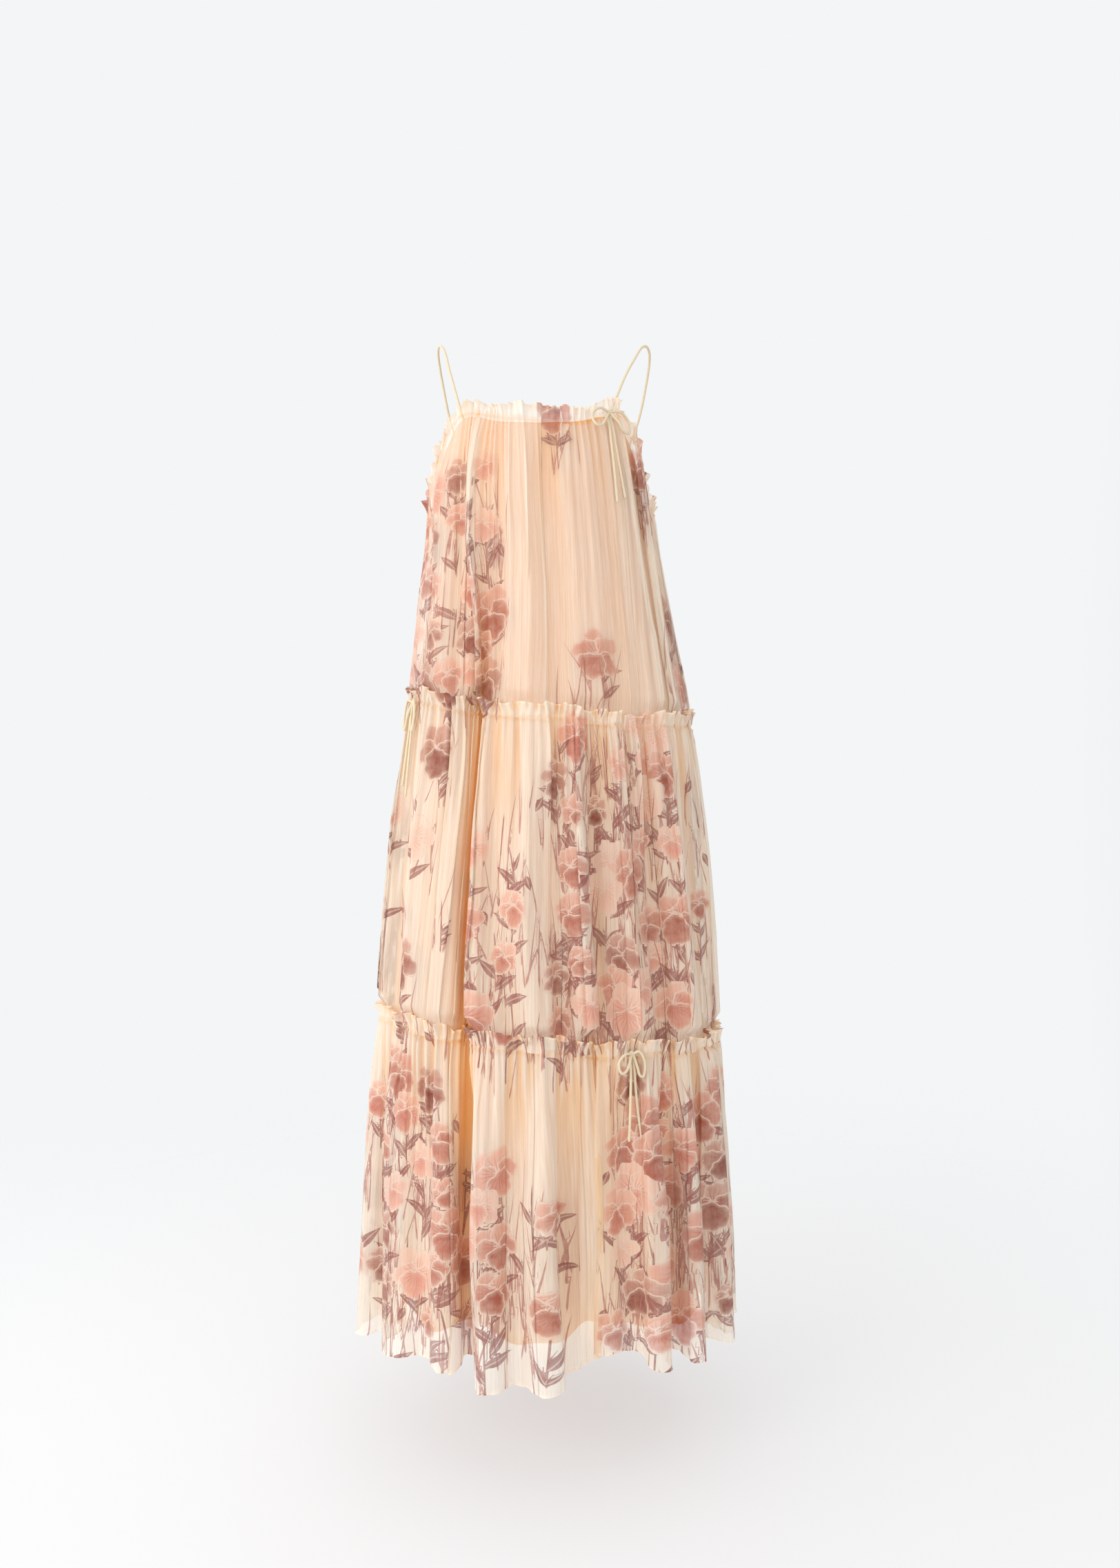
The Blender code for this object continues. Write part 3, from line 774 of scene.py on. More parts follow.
class Print:
    """Inks over one sheet of cloth."""

    def __init__(self, flat, drops):
        self.flat, self.drops = np.broadcast_to(flat, drops.shape), drops
        self.ink = np.zeros((*drops.shape, 4))
        self.rims = np.zeros((*drops.shape, 3))
        self.rims[..., 0] = 0.02
        self.veins = np.zeros((*drops.shape, 3))
        self.stalks = self.no_strokes()
        self.grasses = self.no_strokes()

    def no_strokes(self):
        return {"values": np.zeros((*self.drops.shape, 3)), "score": np.full(self.drops.shape, NO_STROKE)}

    def window(self, flat, drop, reach):
        """The part of the grid round a place, so that only it is worked on."""
        near = (np.abs(self.flat - flat) < reach) & (np.abs(self.drops - drop) < reach)
        rows, columns = np.any(near, axis=1), np.any(near, axis=0)
        if not rows.any() or not columns.any():
            return None
        first_row, last_row = np.flatnonzero(rows)[[0, -1]]
        first_column, last_column = np.flatnonzero(columns)[[0, -1]]
        return slice(first_row, last_row + 1), slice(first_column, last_column + 1)

    def flower(self, rng, flat, drop, radius, inks, lean):
        part = self.window(flat, drop, radius * 1.5)
        if part is None:
            return
        x = (self.flat[part] - flat) / radius
        y = (drop - self.drops[part]) / radius
        x, y = rotated(x, y, lean)
        rear, front = (np.array(linear(colour)) for colour in inks[:2])
        strength = inks[2]
        ink, rims, veins = self.ink[part], self.rims[part], self.veins[part]
        wash = np.clip(1.25 - np.hypot(x, y), 0, 1) ** 1.5 * 0.35 * strength
        take = wash > ink[..., 3]
        ink[take, :3] = rear
        ink[take, 3] = wash[take]
        for reach, direction, length, breadth, tone in PETALS:
            out, aside = rotated(x, y, direction + rng.uniform(-9, 9))
            out = out - reach * rng.uniform(0.92, 1.08)
            length *= rng.uniform(0.92, 1.08)
            breadth *= rng.uniform(0.9, 1.1)
            around = np.arctan2(aside, out)
            ruffled = 1 + 0.10 * np.sin(3 * around + rng.uniform(0, 6))
            ruffled = ruffled + 0.05 * np.sin(8 * around + rng.uniform(0, 6))
            inside = (ruffled - np.hypot(out / length, aside / breadth)) * min(length, breadth) * radius
            cover = np.clip(inside / INK_EDGE + 0.5, 0, 1)
            shade = np.clip(tone + rng.uniform(-0.15, 0.15) + 0.35 * (0.5 - np.hypot(x, y)), 0, 1)[..., None]
            colour = rear * (1 - shade) + front * shade
            edge_fade = np.clip(0.62 + inside / 0.012, 0, 1)
            alpha = strength * (0.72 + 0.28 * shade[..., 0]) * edge_fade
            ink[..., :3] = ink[..., :3] * (1 - cover[..., None]) + colour * cover[..., None]
            ink[..., 3] = ink[..., 3] * (1 - cover) + alpha * cover
            take = (inside > 0) | (np.abs(inside) < np.abs(rims[..., 0]))
            rims[take, 0] = inside[take]
            bloom = inside > 0
            veins[bloom, 0], veins[bloom, 1] = x[bloom], y[bloom]
            veins[bloom, 2] = strength**1.5
            for layer in (self.stalks, self.grasses):
                layer["values"][part][bloom, 2] = 0
                layer["score"][part][bloom] = NO_STROKE
        rims[..., 1] = np.abs(rims[..., 0]) < RIM_REACH

    def stroke(self, layer, flat, drop, lean, length, bend, half_width, shape):
        """A stem, leaf or blade that grows from a place, leaning to the right of upright."""
        part = self.window(flat, drop, length * 1.15)
        if part is None:
            return
        up, across = rotated(drop - self.drops[part], self.flat[part] - flat, lean)
        t = up / length
        across = across - bend * length * t * t
        inner = np.clip(t, 0, 1)
        if shape == "leaf":
            teeth = 1 + 0.22 * np.abs((inner * 5.5) % 1 - 0.5)
            breadth = half_width * np.sin(math.pi * inner**0.75) ** 0.85 * teeth
        elif shape == "blade":
            breadth = half_width * (1 - inner) ** 0.6 * np.clip(inner * 9 + 0.35, 0, 1)
        else:
            breadth = half_width * np.clip((1 - inner) * 9, 0, 1) ** 0.5
        beyond = np.maximum(np.maximum(-t, t - 1), 0) * length
        breadth = np.where(beyond > 0, 0, breadth)
        score = breadth - np.hypot(across, beyond)
        values, best = layer["values"][part], layer["score"][part]
        take = score > best
        best[take] = score[take]
        values[take, 0] = across[take]
        values[take, 1] = breadth[take]
        values[take, 2] = (score > -STROKE_REACH)[take]

    def plant(self, rng, flat, drop, radius, blooms, alone):
        """A flower on its stem, with leaves and a tuft of grass at its foot."""
        inks = FLOWER_INKS[rng.choice(len(FLOWER_INKS), p=FLOWER_SHARES)]
        if alone:
            inks = FLOWER_INKS[LONE_INK]
        tall = rng.uniform(0.045, 0.085)
        lean = rng.uniform(-7, 7)
        foot = flat - tall * math.tan(math.radians(lean)), drop + tall
        self.stroke(self.stalks, *foot, lean, tall, rng.uniform(-0.05, 0.05), 0.0009, "stem")
        for _ in range(rng.integers(2, 5) if blooms else rng.integers(0, 3)):
            share = rng.uniform(0.0, 0.75)
            side = rng.choice((-1, 1))
            place = foot[0] + (flat - foot[0]) * share, foot[1] - tall * share
            size = rng.uniform(0.020, 0.040)
            tilt, bend = side * rng.uniform(20, 58), side * rng.uniform(0.05, 0.35)
            self.stroke(self.stalks, *place, tilt, size, bend, size * 0.15, "leaf")
        for _ in range(rng.integers(4, 9)):
            place = foot[0] + rng.uniform(-0.035, 0.035), foot[1] + rng.uniform(-0.03, 0.02)
            size = rng.uniform(0.035, 0.085)
            tilt, bend = rng.normal(0, 7), rng.uniform(-0.14, 0.14)
            self.stroke(self.grasses, *place, tilt, size, bend, rng.uniform(0.0009, 0.0015), "blade")
        if rng.random() < 0.3:
            side = rng.choice((-1, 1))
            place = foot[0] + side * rng.uniform(0.012, 0.02), foot[1] - tall * rng.uniform(0.5, 0.9)
            self.stroke(self.stalks, *place, 180 - side * 25, 0.018, 0.05, 0.0045, "leaf")
            self.stroke(self.grasses, *foot, side * 14, tall * 0.9, side * 0.06, 0.0008, "stem")
        if blooms:
            self.flower(rng, flat, drop, radius, inks, rng.uniform(-28, 28))


def print_on(piece, order, seed, centre, flat, spread, drops):
    """Grow the beds' plants on a panel, each one in the widest gap of a few random places."""
    rng = np.random.default_rng(seed + 900)
    inks = Print(flat, drops)
    highest, lowest = drops.min(), drops.max()
    plants = []
    for angle, half, top, bottom, flowering, bare in BEDS:
        away = angle_between(angle, centre)
        if abs(away) > 90 + half or bottom < highest - 0.02 or top > lowest - 0.03:
            continue
        middle = np.interp(away, spread - centre, flat)
        reach = half / 180 * flat[-1]
        for index in range(flowering + bare):
            best = None
            for _ in range(12):
                place = middle + rng.uniform(-reach, reach), rng.uniform(top, bottom)
                gap = min([math.hypot(place[0] - p[0], place[1] - p[1]) for p in plants], default=1)
                if best is None or gap > best[0]:
                    best = gap, place
            plants.append((*best[1], index < flowering, flowering == 1))
    plants.sort(key=lambda place: place[1])
    for flat_place, drop, blooms, alone in plants:
        inks.plant(rng, flat_place, drop, rng.uniform(0.019, 0.036), blooms, alone)
    for name, values in (
        ("ink", inks.ink),
        ("rims", inks.rims),
        ("veins", inks.veins),
        ("stalks", inks.stalks["values"]),
        ("grasses", inks.grasses["values"]),
    ):
        keep_values(piece, order, name, values)


# Materials


def rgba(hex_colour):
    return (*linear(hex_colour), 1)


def connect(tree, node, inputs):
    """Give a node's inputs their values, and link those that are sockets."""
    for name, source in inputs.items():
        if isinstance(source, bpy.types.NodeSocket):
            tree.links.new(source, node.inputs[name])
        else:
            node.inputs[name].default_value = source


def add_node(tree, kind, inputs, output=0, **settings):
    """Add a node with its settings, values and links. Returns one of its outputs."""
    node = tree.nodes.new("ShaderNode" + kind)
    for name, value in settings.items():
        setattr(node, name, value)
    connect(tree, node, inputs)
    return node.outputs[output]


def cloth_noise(tree, across, along, detail):
    """A pattern over the flat cloth, with its scale per metre across the threads and along them."""
    uv = add_node(tree, "TexCoord", {}, "UV")
    places = add_node(tree, "Mapping", {0: uv, 3: (across, along, 1)})
    return add_node(tree, "TexNoise", {0: places, "Scale": 1.0, "Detail": detail})


def stroke_mask(tree, attribute):
    """1 inside the strokes of an attribute, 0 outside, the distance from their midline and their breadth."""
    stroke = add_node(tree, "Attribute", {}, "Vector", attribute_name=attribute)
    aside, breadth, near = add_node(tree, "SeparateXYZ", {0: stroke}).node.outputs
    across = add_node(tree, "Math", {0: aside}, operation="ABSOLUTE")
    inside = add_node(tree, "Math", {0: breadth, 1: across}, operation="SUBTRACT")
    edge = add_node(tree, "MapRange", {0: inside, 1: -0.0003, 2: 0.0003}, interpolation_type="SMOOTHSTEP")
    near = add_node(tree, "Math", {0: near, 1: 0.7}, operation="GREATER_THAN")
    return add_node(tree, "Math", {0: edge, 1: near}, operation="MULTIPLY"), across, breadth


def vein_strength(tree, blotch):
    """Lines that fan out from each flower's middle."""
    place = add_node(tree, "Attribute", {}, "Vector", attribute_name="veins")
    x, y, strength = add_node(tree, "SeparateXYZ", {0: place}).node.outputs
    turn = add_node(tree, "Math", {0: y, 1: x}, operation="ARCTAN2")
    stray = add_node(tree, "Math", {0: blotch, 1: 6.0}, operation="MULTIPLY")
    wave = add_node(tree, "Math", {0: turn, 1: 21.0, 2: stray}, operation="MULTIPLY_ADD")
    line = add_node(tree, "Math", {0: wave}, operation="SINE")
    line = add_node(tree, "MapRange", {0: line, 1: 0.25, 2: 0.95})
    flat_place = add_node(tree, "CombineXYZ", {0: x, 1: y})
    reach = add_node(tree, "VectorMath", {0: flat_place}, "Value", operation="LENGTH")
    fade = add_node(tree, "MapRange", {0: reach, 1: 0.72, 2: 0.2})
    veins = add_node(tree, "Math", {0: line, 1: fade}, operation="MULTIPLY")
    veins = add_node(tree, "Math", {0: veins, 1: strength}, operation="MULTIPLY")
    return add_node(tree, "Math", {0: veins, 1: 0.7}, operation="MULTIPLY")


def rim_strength(tree):
    """The pale rims that petals are drawn with."""
    rim = add_node(tree, "Attribute", {}, "Vector", attribute_name="rims")
    inside, near = add_node(tree, "SeparateXYZ", {0: rim}).node.outputs[:2]
    away = add_node(tree, "Math", {0: inside}, operation="ABSOLUTE")
    line = add_node(tree, "MapRange", {0: away, 1: 0.0012, 2: 0.0004})
    near = add_node(tree, "Math", {0: near, 1: 0.7}, operation="GREATER_THAN")
    rims = add_node(tree, "Math", {0: line, 1: near}, operation="MULTIPLY")
    return add_node(tree, "Math", {0: rims, 1: 0.7}, operation="MULTIPLY")


def chiffon(tree):
    """Silk chiffon, woven sheer and crinkled: half of what is behind it shows through, more where the crinkle
    is thin, and it reads creamier where folds lie on each other."""
    # Crinkle lines 2 mm apart and some 60 mm long, and broader streaks
    crinkle = cloth_noise(tree, 420, 15, 3.0)
    streak = add_node(
        tree, "Math", {0: cloth_noise(tree, 110, 5, 2.0), 1: 0.44, 2: -0.22}, operation="MULTIPLY_ADD"
    )
    streak = add_node(tree, "Math", {0: crinkle, 1: streak}, operation="ADD")
    # The paint takes unevenly
    blotch = cloth_noise(tree, 90, 90, 4.0)
    take = add_node(tree, "Math", {0: blotch, 1: 0.7, 2: 0.62}, operation="MULTIPLY_ADD")
    ink = add_node(tree, "Attribute", {}, "Color", attribute_name="ink")
    inked = add_node(tree, "Math", {0: ink.node.outputs["Alpha"], 1: take}, operation="MULTIPLY")
    # Painted shade: deep in the main folds, in the gathers' valleys and along the seam under the drawstring
    # the silk is painted a warmer peach, standing in for the light that passes through more silk there; the
    # frill is tinted with it a little
    painted_shade_and_tint = add_node(tree, "Attribute", {}, "Fac", attribute_name="painted_shade_and_tint")
    # Colours laid over each other: share, colour
    layers = [
        (streak, rgba("#FFF7E9")),
        (painted_shade_and_tint, rgba("#FFC67E")),
        (inked, ink),
        (vein_strength(tree, blotch), rgba("#B0665B")),
        (rim_strength(tree), rgba("#F7DCC9")),
    ]
    for attribute, shade, strength in (("grasses", "#B4766A", 0.84), ("stalks", "#9B6058", 0.88)):
        mask, across, breadth = stroke_mask(tree, attribute)
        mask = add_node(tree, "Math", {0: mask, 1: take}, operation="MULTIPLY")
        mask = add_node(tree, "Math", {0: mask, 1: strength}, operation="MULTIPLY")
        if attribute == "stalks":
            # Leaves, which are broader than stems, have a pale midrib
            beside = add_node(tree, "MapRange", {0: across, 1: 0.0002, 2: 0.0009})
            thin = add_node(tree, "MapRange", {0: breadth, 1: 0.0012, 2: 0.0022, 3: 1.0, 4: 0.6})
            drawn = add_node(tree, "Math", {0: beside, 1: thin}, operation="MAXIMUM")
            mask = add_node(tree, "Math", {0: mask, 1: drawn}, operation="MULTIPLY")
        layers.append((mask, rgba(shade)))
        inked = add_node(tree, "Math", {0: inked, 1: mask}, operation="MAXIMUM")
    colour = rgba("#F9E4CB")
    for share, shade in layers:
        colour = add_node(tree, "Mix", {0: share, 6: colour, 7: shade}, 2, data_type="RGBA")
    # Sheer: alpha of one layer, raised by ink and where the cloth is doubled
    bare = add_node(tree, "Math", {0: streak, 1: 0.30, 2: 0.43}, operation="MULTIPLY_ADD")
    sheer = add_node(tree, "Math", {0: inked, 1: 0.30, 2: bare}, operation="MULTIPLY_ADD")
    clear = add_node(tree, "Math", {0: 1.0, 1: sheer}, operation="SUBTRACT")
    cover = add_node(tree, "Attribute", {}, "Fac", attribute_name="cover")
    clear = add_node(tree, "Math", {0: clear, 1: cover}, operation="POWER")
    return {
        "Base Color": colour,
        "Alpha": add_node(tree, "Math", {0: 1.0, 1: clear}, operation="SUBTRACT"),
        "Normal": add_node(tree, "Bump", {"Strength": 0.25, "Distance": 0.0006, "Height": streak}),
        "Roughness": 0.72,
        "Specular IOR Level": 0.25,
        "Sheen Weight": 0.18,
        "Sheen Roughness": 0.4,
    }


def slip_cloth(tree):
    """Viscose crepe lining, plain-woven and matt: peach with faint vertical wrinkles, with painted shade, a
    warmer peach, in its main folds, and a warmer band at its hem.
    """
    wrinkle, grain = cloth_noise(tree, 60, 6, 3.0), cloth_noise(tree, 700, 700, 1.0)
    height = add_node(tree, "Math", {0: grain, 1: 0.25, 2: wrinkle}, operation="MULTIPLY_ADD")
    # Painted shade: a warmer peach in the main folds, and a warmer band at the hem
    painted_shade_and_tint = add_node(tree, "Attribute", {}, "Fac", attribute_name="painted_shade_and_tint")
    colour = rgba("#EFBA90")
    for share, shade in ((wrinkle, "#F6C9A4"), (painted_shade_and_tint, "#FFBC70")):
        colour = add_node(tree, "Mix", {0: share, 6: colour, 7: rgba(shade)}, 2, data_type="RGBA")
    return {
        "Base Color": colour,
        "Normal": add_node(tree, "Bump", {"Strength": 0.3, "Distance": 0.001, "Height": height}),
        "Roughness": 0.62,
        "Sheen Weight": 0.12,
    }


def rouleau(tree):
    """Bias-cut silk, turned into a cord: cream, with the weave running slantwise round it."""
    # Threads really lie 0.2 mm apart, and are drawn 0.8 mm apart
    uv = add_node(tree, "TexCoord", {}, "UV")
    slant = add_node(tree, "Mapping", {0: uv, 2: (0, 0, math.radians(45)), 3: (1250, 1250, 1)})
    weave = add_node(tree, "TexWave", {0: slant, "Scale": 0.3, "Distortion": 0.6}, "Fac", wave_type="BANDS")
    shades = {0: cloth_noise(tree, 120, 120, 2.0), 6: rgba("#E3D0AB"), 7: rgba("#EDDFC1")}
    return {
        "Base Color": add_node(tree, "Mix", shades, 2, data_type="RGBA"),
        "Normal": add_node(tree, "Bump", {"Strength": 0.07, "Distance": 0.0002, "Height": weave}),
        "Roughness": 0.55,
        "Sheen Weight": 0.25,
    }


def paper_floor(tree):
    """Pale paper, matt, that fades out into the backdrop."""
    place = add_node(tree, "TexCoord", {}, "Object")
    reach = add_node(tree, "VectorMath", {0: place}, "Value", operation="LENGTH")
    fading = {0: reach, 1: 0.3, 2: 2.4, 3: 0.55, 4: 0.0}
    return {
        "Base Color": rgba("#F7F7F7"),
        "Alpha": add_node(tree, "MapRange", fading, interpolation_type="SMOOTHERSTEP"),
        "Roughness": 0.9,
    }


# The real material of each slot and of the floor, and what builds it
MATERIALS = {
    "chiffon": ("crinkled_silk_chiffon", chiffon),
    "lining": ("peach_crepe_lining", slip_cloth),
    "rouleau": ("silk_rouleau", rouleau),
    "floor": ("pale_paper_floor", paper_floor),
}


def cover_with(piece, slot):
    """Give a piece its material, which is built the first time."""
    name, build = MATERIALS[slot]
    material = bpy.data.materials.get(name)
    if material is None:
        material = bpy.data.materials.new(name)
        material.use_nodes = True
        tree = material.node_tree
        connect(tree, tree.nodes["Principled BSDF"], build(tree))
    piece.data.materials.append(material)


# Cords

CORD_SIDES = 12
STRAP_RINGS, LOOP_RINGS, TAIL_RINGS, KNOT_RINGS = 90, 56, 40, 44
# Where loops and tails meet the knot, in degrees above level, and how far from its middle a loop does
LOOP_LEAVES, LOOP_RETURNS, TAIL_LEAVES = 18, -48, -60
LOOP_NEAR = KNOT_RADIUS * 0.7
# A knot: turns, half height, half depth, width, sway to the side
KNOT = (1.9, 0.0021, 0.0016, 0.0026, 0.0006)


def curve_through(points, count):
    """Evenly spread points on a smooth curve through the given ones."""
    points = np.array(points, float)
    places = np.concatenate(([0], np.cumsum(np.linalg.norm(np.diff(points, axis=0), axis=1))))
    rows = [(place, *point) for place, point in zip(places, points)]
    at = np.linspace(0, places[-1], count)
    return np.stack([table_value(rows, at, axis) for axis in (1, 2, 3)], axis=-1)


def cord_mesh(name, points, radius):
    """A round cord along points, with rounded ends, and a UV map in metres along and round it."""
    points = np.array(points, float)
    tangent = np.gradient(points, axis=0)
    tangent /= np.linalg.norm(tangent, axis=1)[:, None]
    side = np.cross(tangent[0], (0.3, 0.2, 1.0))
    rings = []
    for index, along in enumerate(tangent):
        side = side - along * (side @ along)
        side /= np.linalg.norm(side)
        rings.append((points[index], radius, side, np.cross(along, side)))
    first, last = rings[0][2:], rings[-1][2:]
    for turn in (0.45, 0.85):
        back, small = radius * math.sin(turn * math.pi / 2), radius * math.cos(turn * math.pi / 2)
        rings.insert(0, (points[0] - tangent[0] * back, small, *first))
        rings.append((points[-1] + tangent[-1] * back, small, *last))
    turns = np.arange(CORD_SIDES) * 2 * math.pi / CORD_SIDES
    verts = []
    for middle, size, right, up in rings:
        verts.extend(middle + size * (math.cos(t) * right + math.sin(t) * up) for t in turns)
    faces, uvs = [], []
    run = 0.0
    for ring in range(len(rings) - 1):
        step = float(np.linalg.norm(rings[ring + 1][0] - rings[ring][0]))
        here, there = ring * CORD_SIDES, (ring + 1) * CORD_SIDES
        for k in range(CORD_SIDES):
            after = (k + 1) % CORD_SIDES
            faces.append([here + k, here + after, there + after, there + k])
            low, high = (corner * 2 * math.pi * radius / CORD_SIDES for corner in (k, k + 1))
            uvs += [(run, low), (run, high), (run + step, high), (run + step, low)]
        run += step
    end = (len(rings) - 1) * CORD_SIDES
    faces.append(list(range(CORD_SIDES))[::-1])
    faces.append(list(range(end, end + CORD_SIDES)))
    uvs += [(0, 0)] * CORD_SIDES + [(run, 0)] * CORD_SIDES
    mesh = bpy.data.meshes.new(name)
    mesh.from_pydata(verts, [], faces)
    mesh.uv_layers.new(name="UVMap").data.foreach_set("uv", np.array(uvs, np.float32).ravel())
    mesh.shade_smooth()
    piece = bpy.data.objects.new(name, mesh)
    bpy.context.scene.collection.objects.link(piece)
    return piece


def bow_point(place, across, up, out):
    """A point of a bow, measured along the cloth from its knot."""
    angle, line = place
    drop = line(angle) - up
    round_one_degree = np.linalg.norm(form_point(angle + 1, drop, 0) - form_point(angle, drop, 0))
    return outer_point(angle + across / round_one_degree, drop, out)


def loop_points(place, side, reach, droop):
    leaves, returns = (
        bow_point(place, side * LOOP_NEAR * math.cos(turn), LOOP_NEAR * math.sin(turn), KNOT_OUT + LAYER)
        for turn in (math.radians(LOOP_LEAVES), math.radians(LOOP_RETURNS))
    )
    hanging = [bow_point(place, side * reach * across, droop * up, LOOP_OUT) for across, up in LOOP_SHAPE]
    return curve_through([leaves, *hanging, returns], LOOP_RINGS)


def tail_points(place, side, length, drift):
    start = math.radians(TAIL_LEAVES)
    near = KNOT_RADIUS + TAIL_START
    across, up = side * near * math.cos(start), near * math.sin(start)
    points = [bow_point(place, across, up, KNOT_OUT - LAYER)]
    for share in (TAIL_CLEAR / length, 0.35, 0.65, 1.0):
        sideways = across * (1 + share) + drift * share * share
        points.append(bow_point(place, sideways, up - length * share, TAIL_OUT))
    return curve_through(points, TAIL_RINGS)


def knot_points(place):
    """Two turns of cord, wrapped round the crossing."""
    count, tall, deep, wide, sway = KNOT
    centre = bow_point(place, 0, 0, KNOT_OUT)
    outwards = bow_point(place, 0, 0, KNOT_OUT + 1) - centre
    sideways = np.cross((0, 0, 1), outwards)
    sideways /= np.linalg.norm(sideways)
    turns = np.linspace(0, 2 * math.pi * count, KNOT_RINGS)
    return [
        centre
        + tall * math.cos(t) * np.array((0, 0, 1))
        + deep * math.sin(t) * outwards
        + (wide * (t / turns[-1] - 0.5) + sway * math.sin(t * 0.5)) * sideways
        for t in turns
    ]


# Settings and operators

FLOOR_RADIUS = 3.2
CAMERA_PLACE = (0.0147, -1.57, -0.585)
SENSOR_WIDTH = 36
# Lamps: name, place, place they shine at, size in metres, power in watts
LAMPS = (
    ("key_light", (-2.0, -2.2, 0.6), (0, 0, -0.65), 1.5, 23),
    ("side_light", (-2.4, -0.7, -0.3), (0, 0, -0.7), 1.6, 13),
    ("fill_light", (1.5, -2.2, 0.1), (0, 0, -0.7), 1.4, 4.5),
)


class DressClothSettings(bpy.types.PropertyGroup):
    upper_width: bpy.props.FloatProperty(
        name="Upper panel", description="Flat width of an upper panel", default=0.66, min=0.5, max=1.0,
        unit="LENGTH",
    )
    middle_width: bpy.props.FloatProperty(
        name="Middle panel", description="Flat width of a middle panel", default=0.88, min=0.7, max=1.4,
        unit="LENGTH",
    )
    lower_width: bpy.props.FloatProperty(
        name="Lower panel", description="Flat width of a lower panel", default=1.02, min=0.9, max=1.6,
        unit="LENGTH",
    )


class DressStageSettings(bpy.types.PropertyGroup):
    lens: bpy.props.FloatProperty(
        name="Lens", description="Focal length of the camera", default=27.06, min=15, max=85
    )
    floor_drop: bpy.props.FloatProperty(
        name="Floor", description="Drop of the floor below the strap tops", default=1.4245, unit="LENGTH"
    )
    backdrop: bpy.props.FloatVectorProperty(
        name="Backdrop",
        description="Colour of the backdrop",
        subtype="COLOR",
        size=3,
        min=0,
        max=1,
        default=linear("#F4F5F6"),
    )


def fit_piece(piece, node, slot):
    cover_with(piece, slot)
    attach(piece, "root")
    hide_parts(node)


def make_tier(tier, width):
    for side in ("front", "back"):
        name = f"{tier}_tier_{side}"
        piece, flat, area = tier_panel(name, TIERS[tier], side, width)
        fit_piece(piece, name, "chiffon")
    return {"FINISHED"}


class DRESS_OT_upper_tier(bpy.types.Operator):
    """Gather the upper tier on the neck drawstring"""

    bl_idname = "dress.upper_tier"
    bl_label = "Upper Tier"

    def execute(self, context):
        return make_tier("upper", context.scene.dress_cloth.upper_width)


class DRESS_OT_middle_tier(bpy.types.Operator):
    """Gather the middle tier on the hip drawstring"""

    bl_idname = "dress.middle_tier"
    bl_label = "Middle Tier"

    def execute(self, context):
        return make_tier("middle", context.scene.dress_cloth.middle_width)


class DRESS_OT_lower_tier(bpy.types.Operator):
    """Gather the lower tier on the knee drawstring"""

    bl_idname = "dress.lower_tier"
    bl_label = "Lower Tier"

    def execute(self, context):
        return make_tier("lower", context.scene.dress_cloth.lower_width)


class DRESS_OT_slip(bpy.types.Operator):
    """Hang the two panels of the slip inside the tiers"""

    bl_idname = "dress.slip"
    bl_label = "Slip"

    def execute(self, context):
        for side, centre in (("front", 0), ("back", 180)):
            name = f"lining_{side}"
            piece, flat, area = slip_panel(f"{name}_cloth", centre)
            fit_piece(piece, name, "lining")
        return {"FINISHED"}


class DRESS_OT_straps(bpy.types.Operator):
    """Sew the two rouleau straps to the slip's top edge"""

    bl_idname = "dress.straps"
    bl_label = "Straps"

    def execute(self, context):
        for name, (ends, route) in STRAPS.items():
            front, back = (form_point(angle, neck_drop(angle) + STRAP_SEWN, -STRAP_INSET) for angle in ends)
            piece = cord_mesh(f"{name}_cord", curve_through([front, *route, back], STRAP_RINGS), STRAP_RADIUS)
            fit_piece(piece, name, "rouleau")
        return {"FINISHED"}


class DRESS_OT_bows(bpy.types.Operator):
    """Tie the three drawstrings"""

    bl_idname = "dress.bows"
    bl_label = "Bows"

    def execute(self, context):
        lines = {"neck": neck_drop, "hip": hip_drop, "knee": knee_drop}
        for name, (angle, *sides) in BOWS.items():
            place = angle, lines[name]
            knot = cord_mesh(f"{name}_knot", knot_points(place), CORD_RADIUS)
            fit_piece(knot, f"{name}_bow_knot", "rouleau")
            for word, side, loop, tail in zip(("left", "right"), (-1, 1), sides[:2], sides[2:]):
                piece = cord_mesh(f"{name}_loop_{word}", loop_points(place, side, *loop), CORD_RADIUS)
                fit_piece(piece, f"{name}_bow_loop_{word}", "rouleau")
                points = tail_points(place, side, *tail)
                piece = cord_mesh(f"{name}_tail_{word}", points, CORD_RADIUS)
                fit_piece(piece, f"{name}_bow_tail_{word}", "rouleau")
        return {"FINISHED"}


def white_room(backdrop):
    """A white room, a little darker on the right, away from its windows."""
    world = bpy.data.worlds.new("white_room")
    world.use_nodes = True
    tree = world.node_tree
    way = add_node(tree, "TexCoord", {}, "Generated")
    to_right = add_node(tree, "SeparateXYZ", {0: way}, "X")
    shade = add_node(tree, "MapRange", {0: to_right, 1: 0.4, 2: 1.0, 3: 1.0, 4: 0.6})
    connect(tree, tree.nodes["Background"], {"Color": (*backdrop, 1), "Strength": shade})
    return world


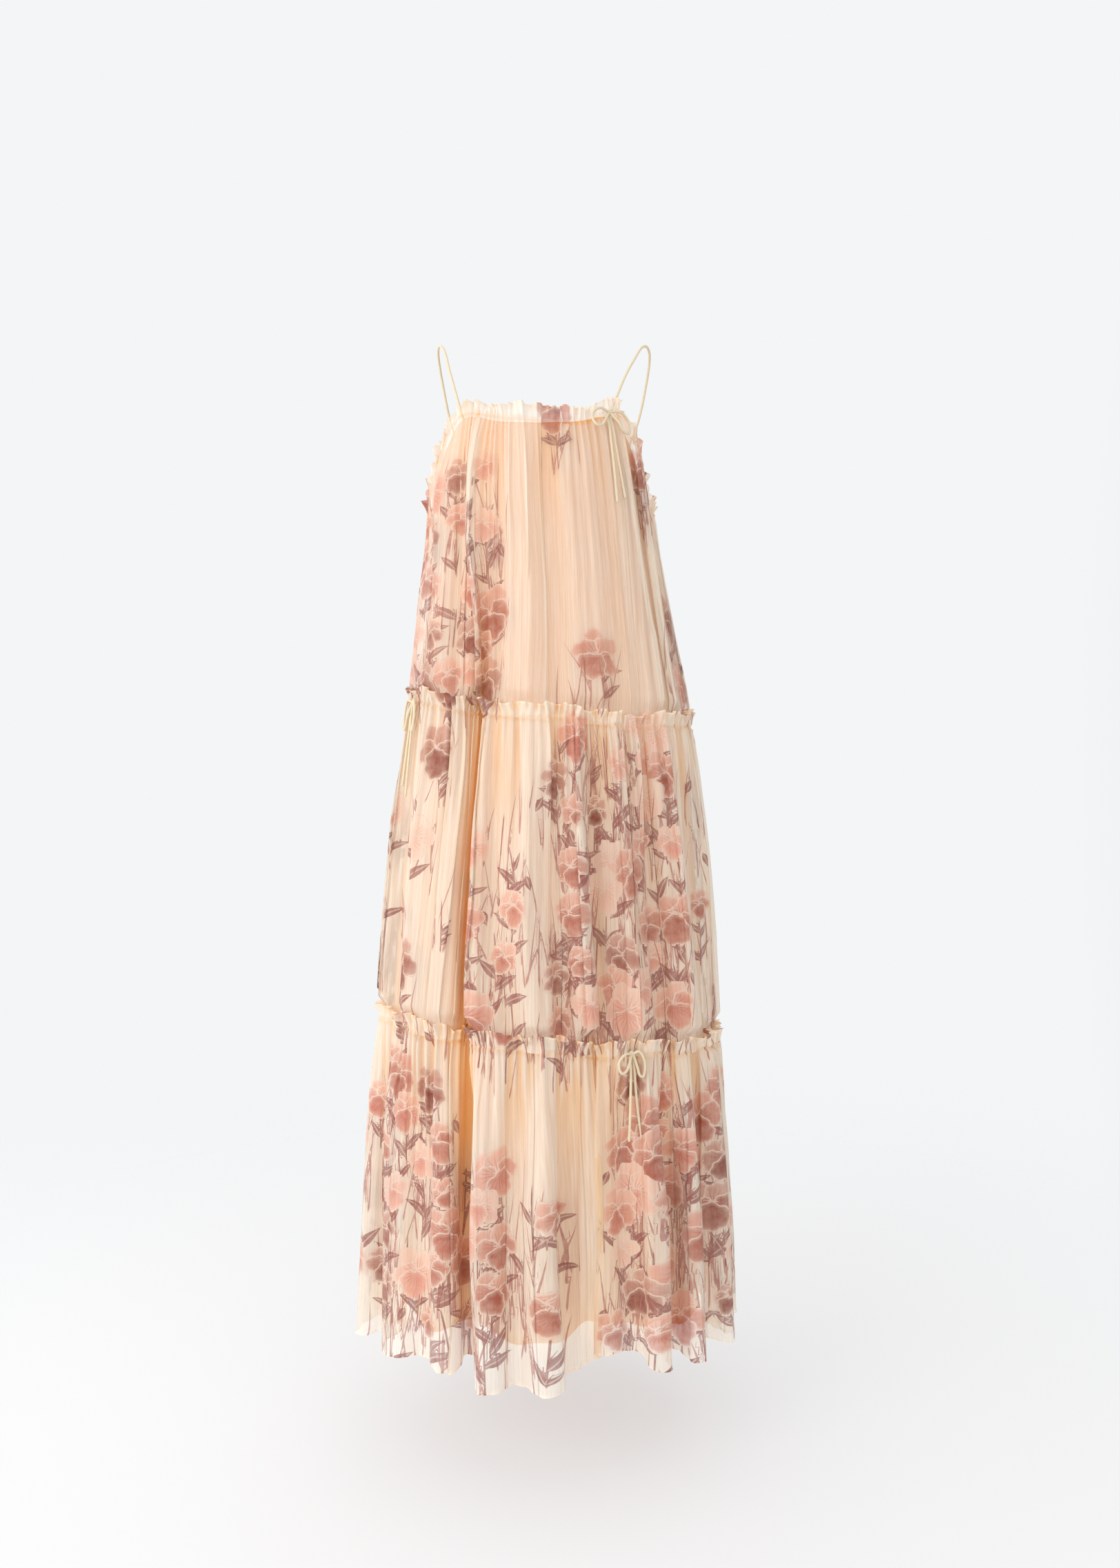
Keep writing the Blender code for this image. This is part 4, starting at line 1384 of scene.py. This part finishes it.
class DRESS_OT_stage(bpy.types.Operator):
    """Set the floor, the light and the camera"""

    bl_idname = "dress.stage"
    bl_label = "Stage"

    def execute(self, context):
        stage = context.scene.dress_stage
        bpy.ops.mesh.primitive_circle_add(
            vertices=96, radius=FLOOR_RADIUS, fill_type="TRIFAN", location=(0, 0, -stage.floor_drop)
        )
        floor = context.object
        floor.name = "floor"
        cover_with(floor, "floor")
        floor.select_set(False)
        context.scene.world = white_room(stage.backdrop)
        for name, place, target, size, power in LAMPS:
            data = bpy.data.lights.new(name, "AREA")
            data.size, data.energy = size, power
            lamp = bpy.data.objects.new(name, data)
            lamp.location = place
            lamp.rotation_euler = (Vector(target) - Vector(place)).to_track_quat("-Z", "Y").to_euler()
            context.scene.collection.objects.link(lamp)
        data = bpy.data.cameras.new("camera")
        data.sensor_width = SENSOR_WIDTH
        data.lens = stage.lens
        camera = bpy.data.objects.new("camera", data)
        camera.location = CAMERA_PLACE
        camera.rotation_euler = (math.radians(90), 0, 0)
        context.scene.collection.objects.link(camera)
        context.scene.camera = camera
        context.scene.view_settings.view_transform = "Standard"
        return {"FINISHED"}


class DRESS_PT_panel(bpy.types.Panel):
    """Lists the steps that build the dress"""

    bl_idname = "DRESS_PT_panel"
    bl_label = "Maxi Dress"
    bl_space_type = "VIEW_3D"
    bl_region_type = "UI"
    bl_category = "Maxi Dress"

    def draw(self, context):
        for group in (context.scene.dress_cloth, context.scene.dress_stage):
            for name in group.bl_rna.properties.keys():
                if name not in ("rna_type", "name"):
                    self.layout.prop(group, name)
        for operator in OPERATORS:
            self.layout.operator(operator.bl_idname)


OPERATORS = (
    DRESS_OT_stage,
    DRESS_OT_bows,
    DRESS_OT_straps,
    DRESS_OT_slip,
    DRESS_OT_upper_tier,
    DRESS_OT_middle_tier,
    DRESS_OT_lower_tier,
)
CLASSES = (DressClothSettings, DressStageSettings, *OPERATORS, DRESS_PT_panel)


def register():
    for item in CLASSES:
        bpy.utils.register_class(item)
    bpy.types.Scene.dress_cloth = bpy.props.PointerProperty(type=DressClothSettings)
    bpy.types.Scene.dress_stage = bpy.props.PointerProperty(type=DressStageSettings)


def unregister():
    del bpy.types.Scene.dress_stage
    del bpy.types.Scene.dress_cloth
    for item in reversed(CLASSES):
        bpy.utils.unregister_class(item)


def main():
    bpy.ops.object.select_all(action="DESELECT")
    register()
    for operator in OPERATORS:
        group, name = operator.bl_idname.split(".")
        getattr(getattr(bpy.ops, group), name)()


if __name__ == "__main__":
    main()
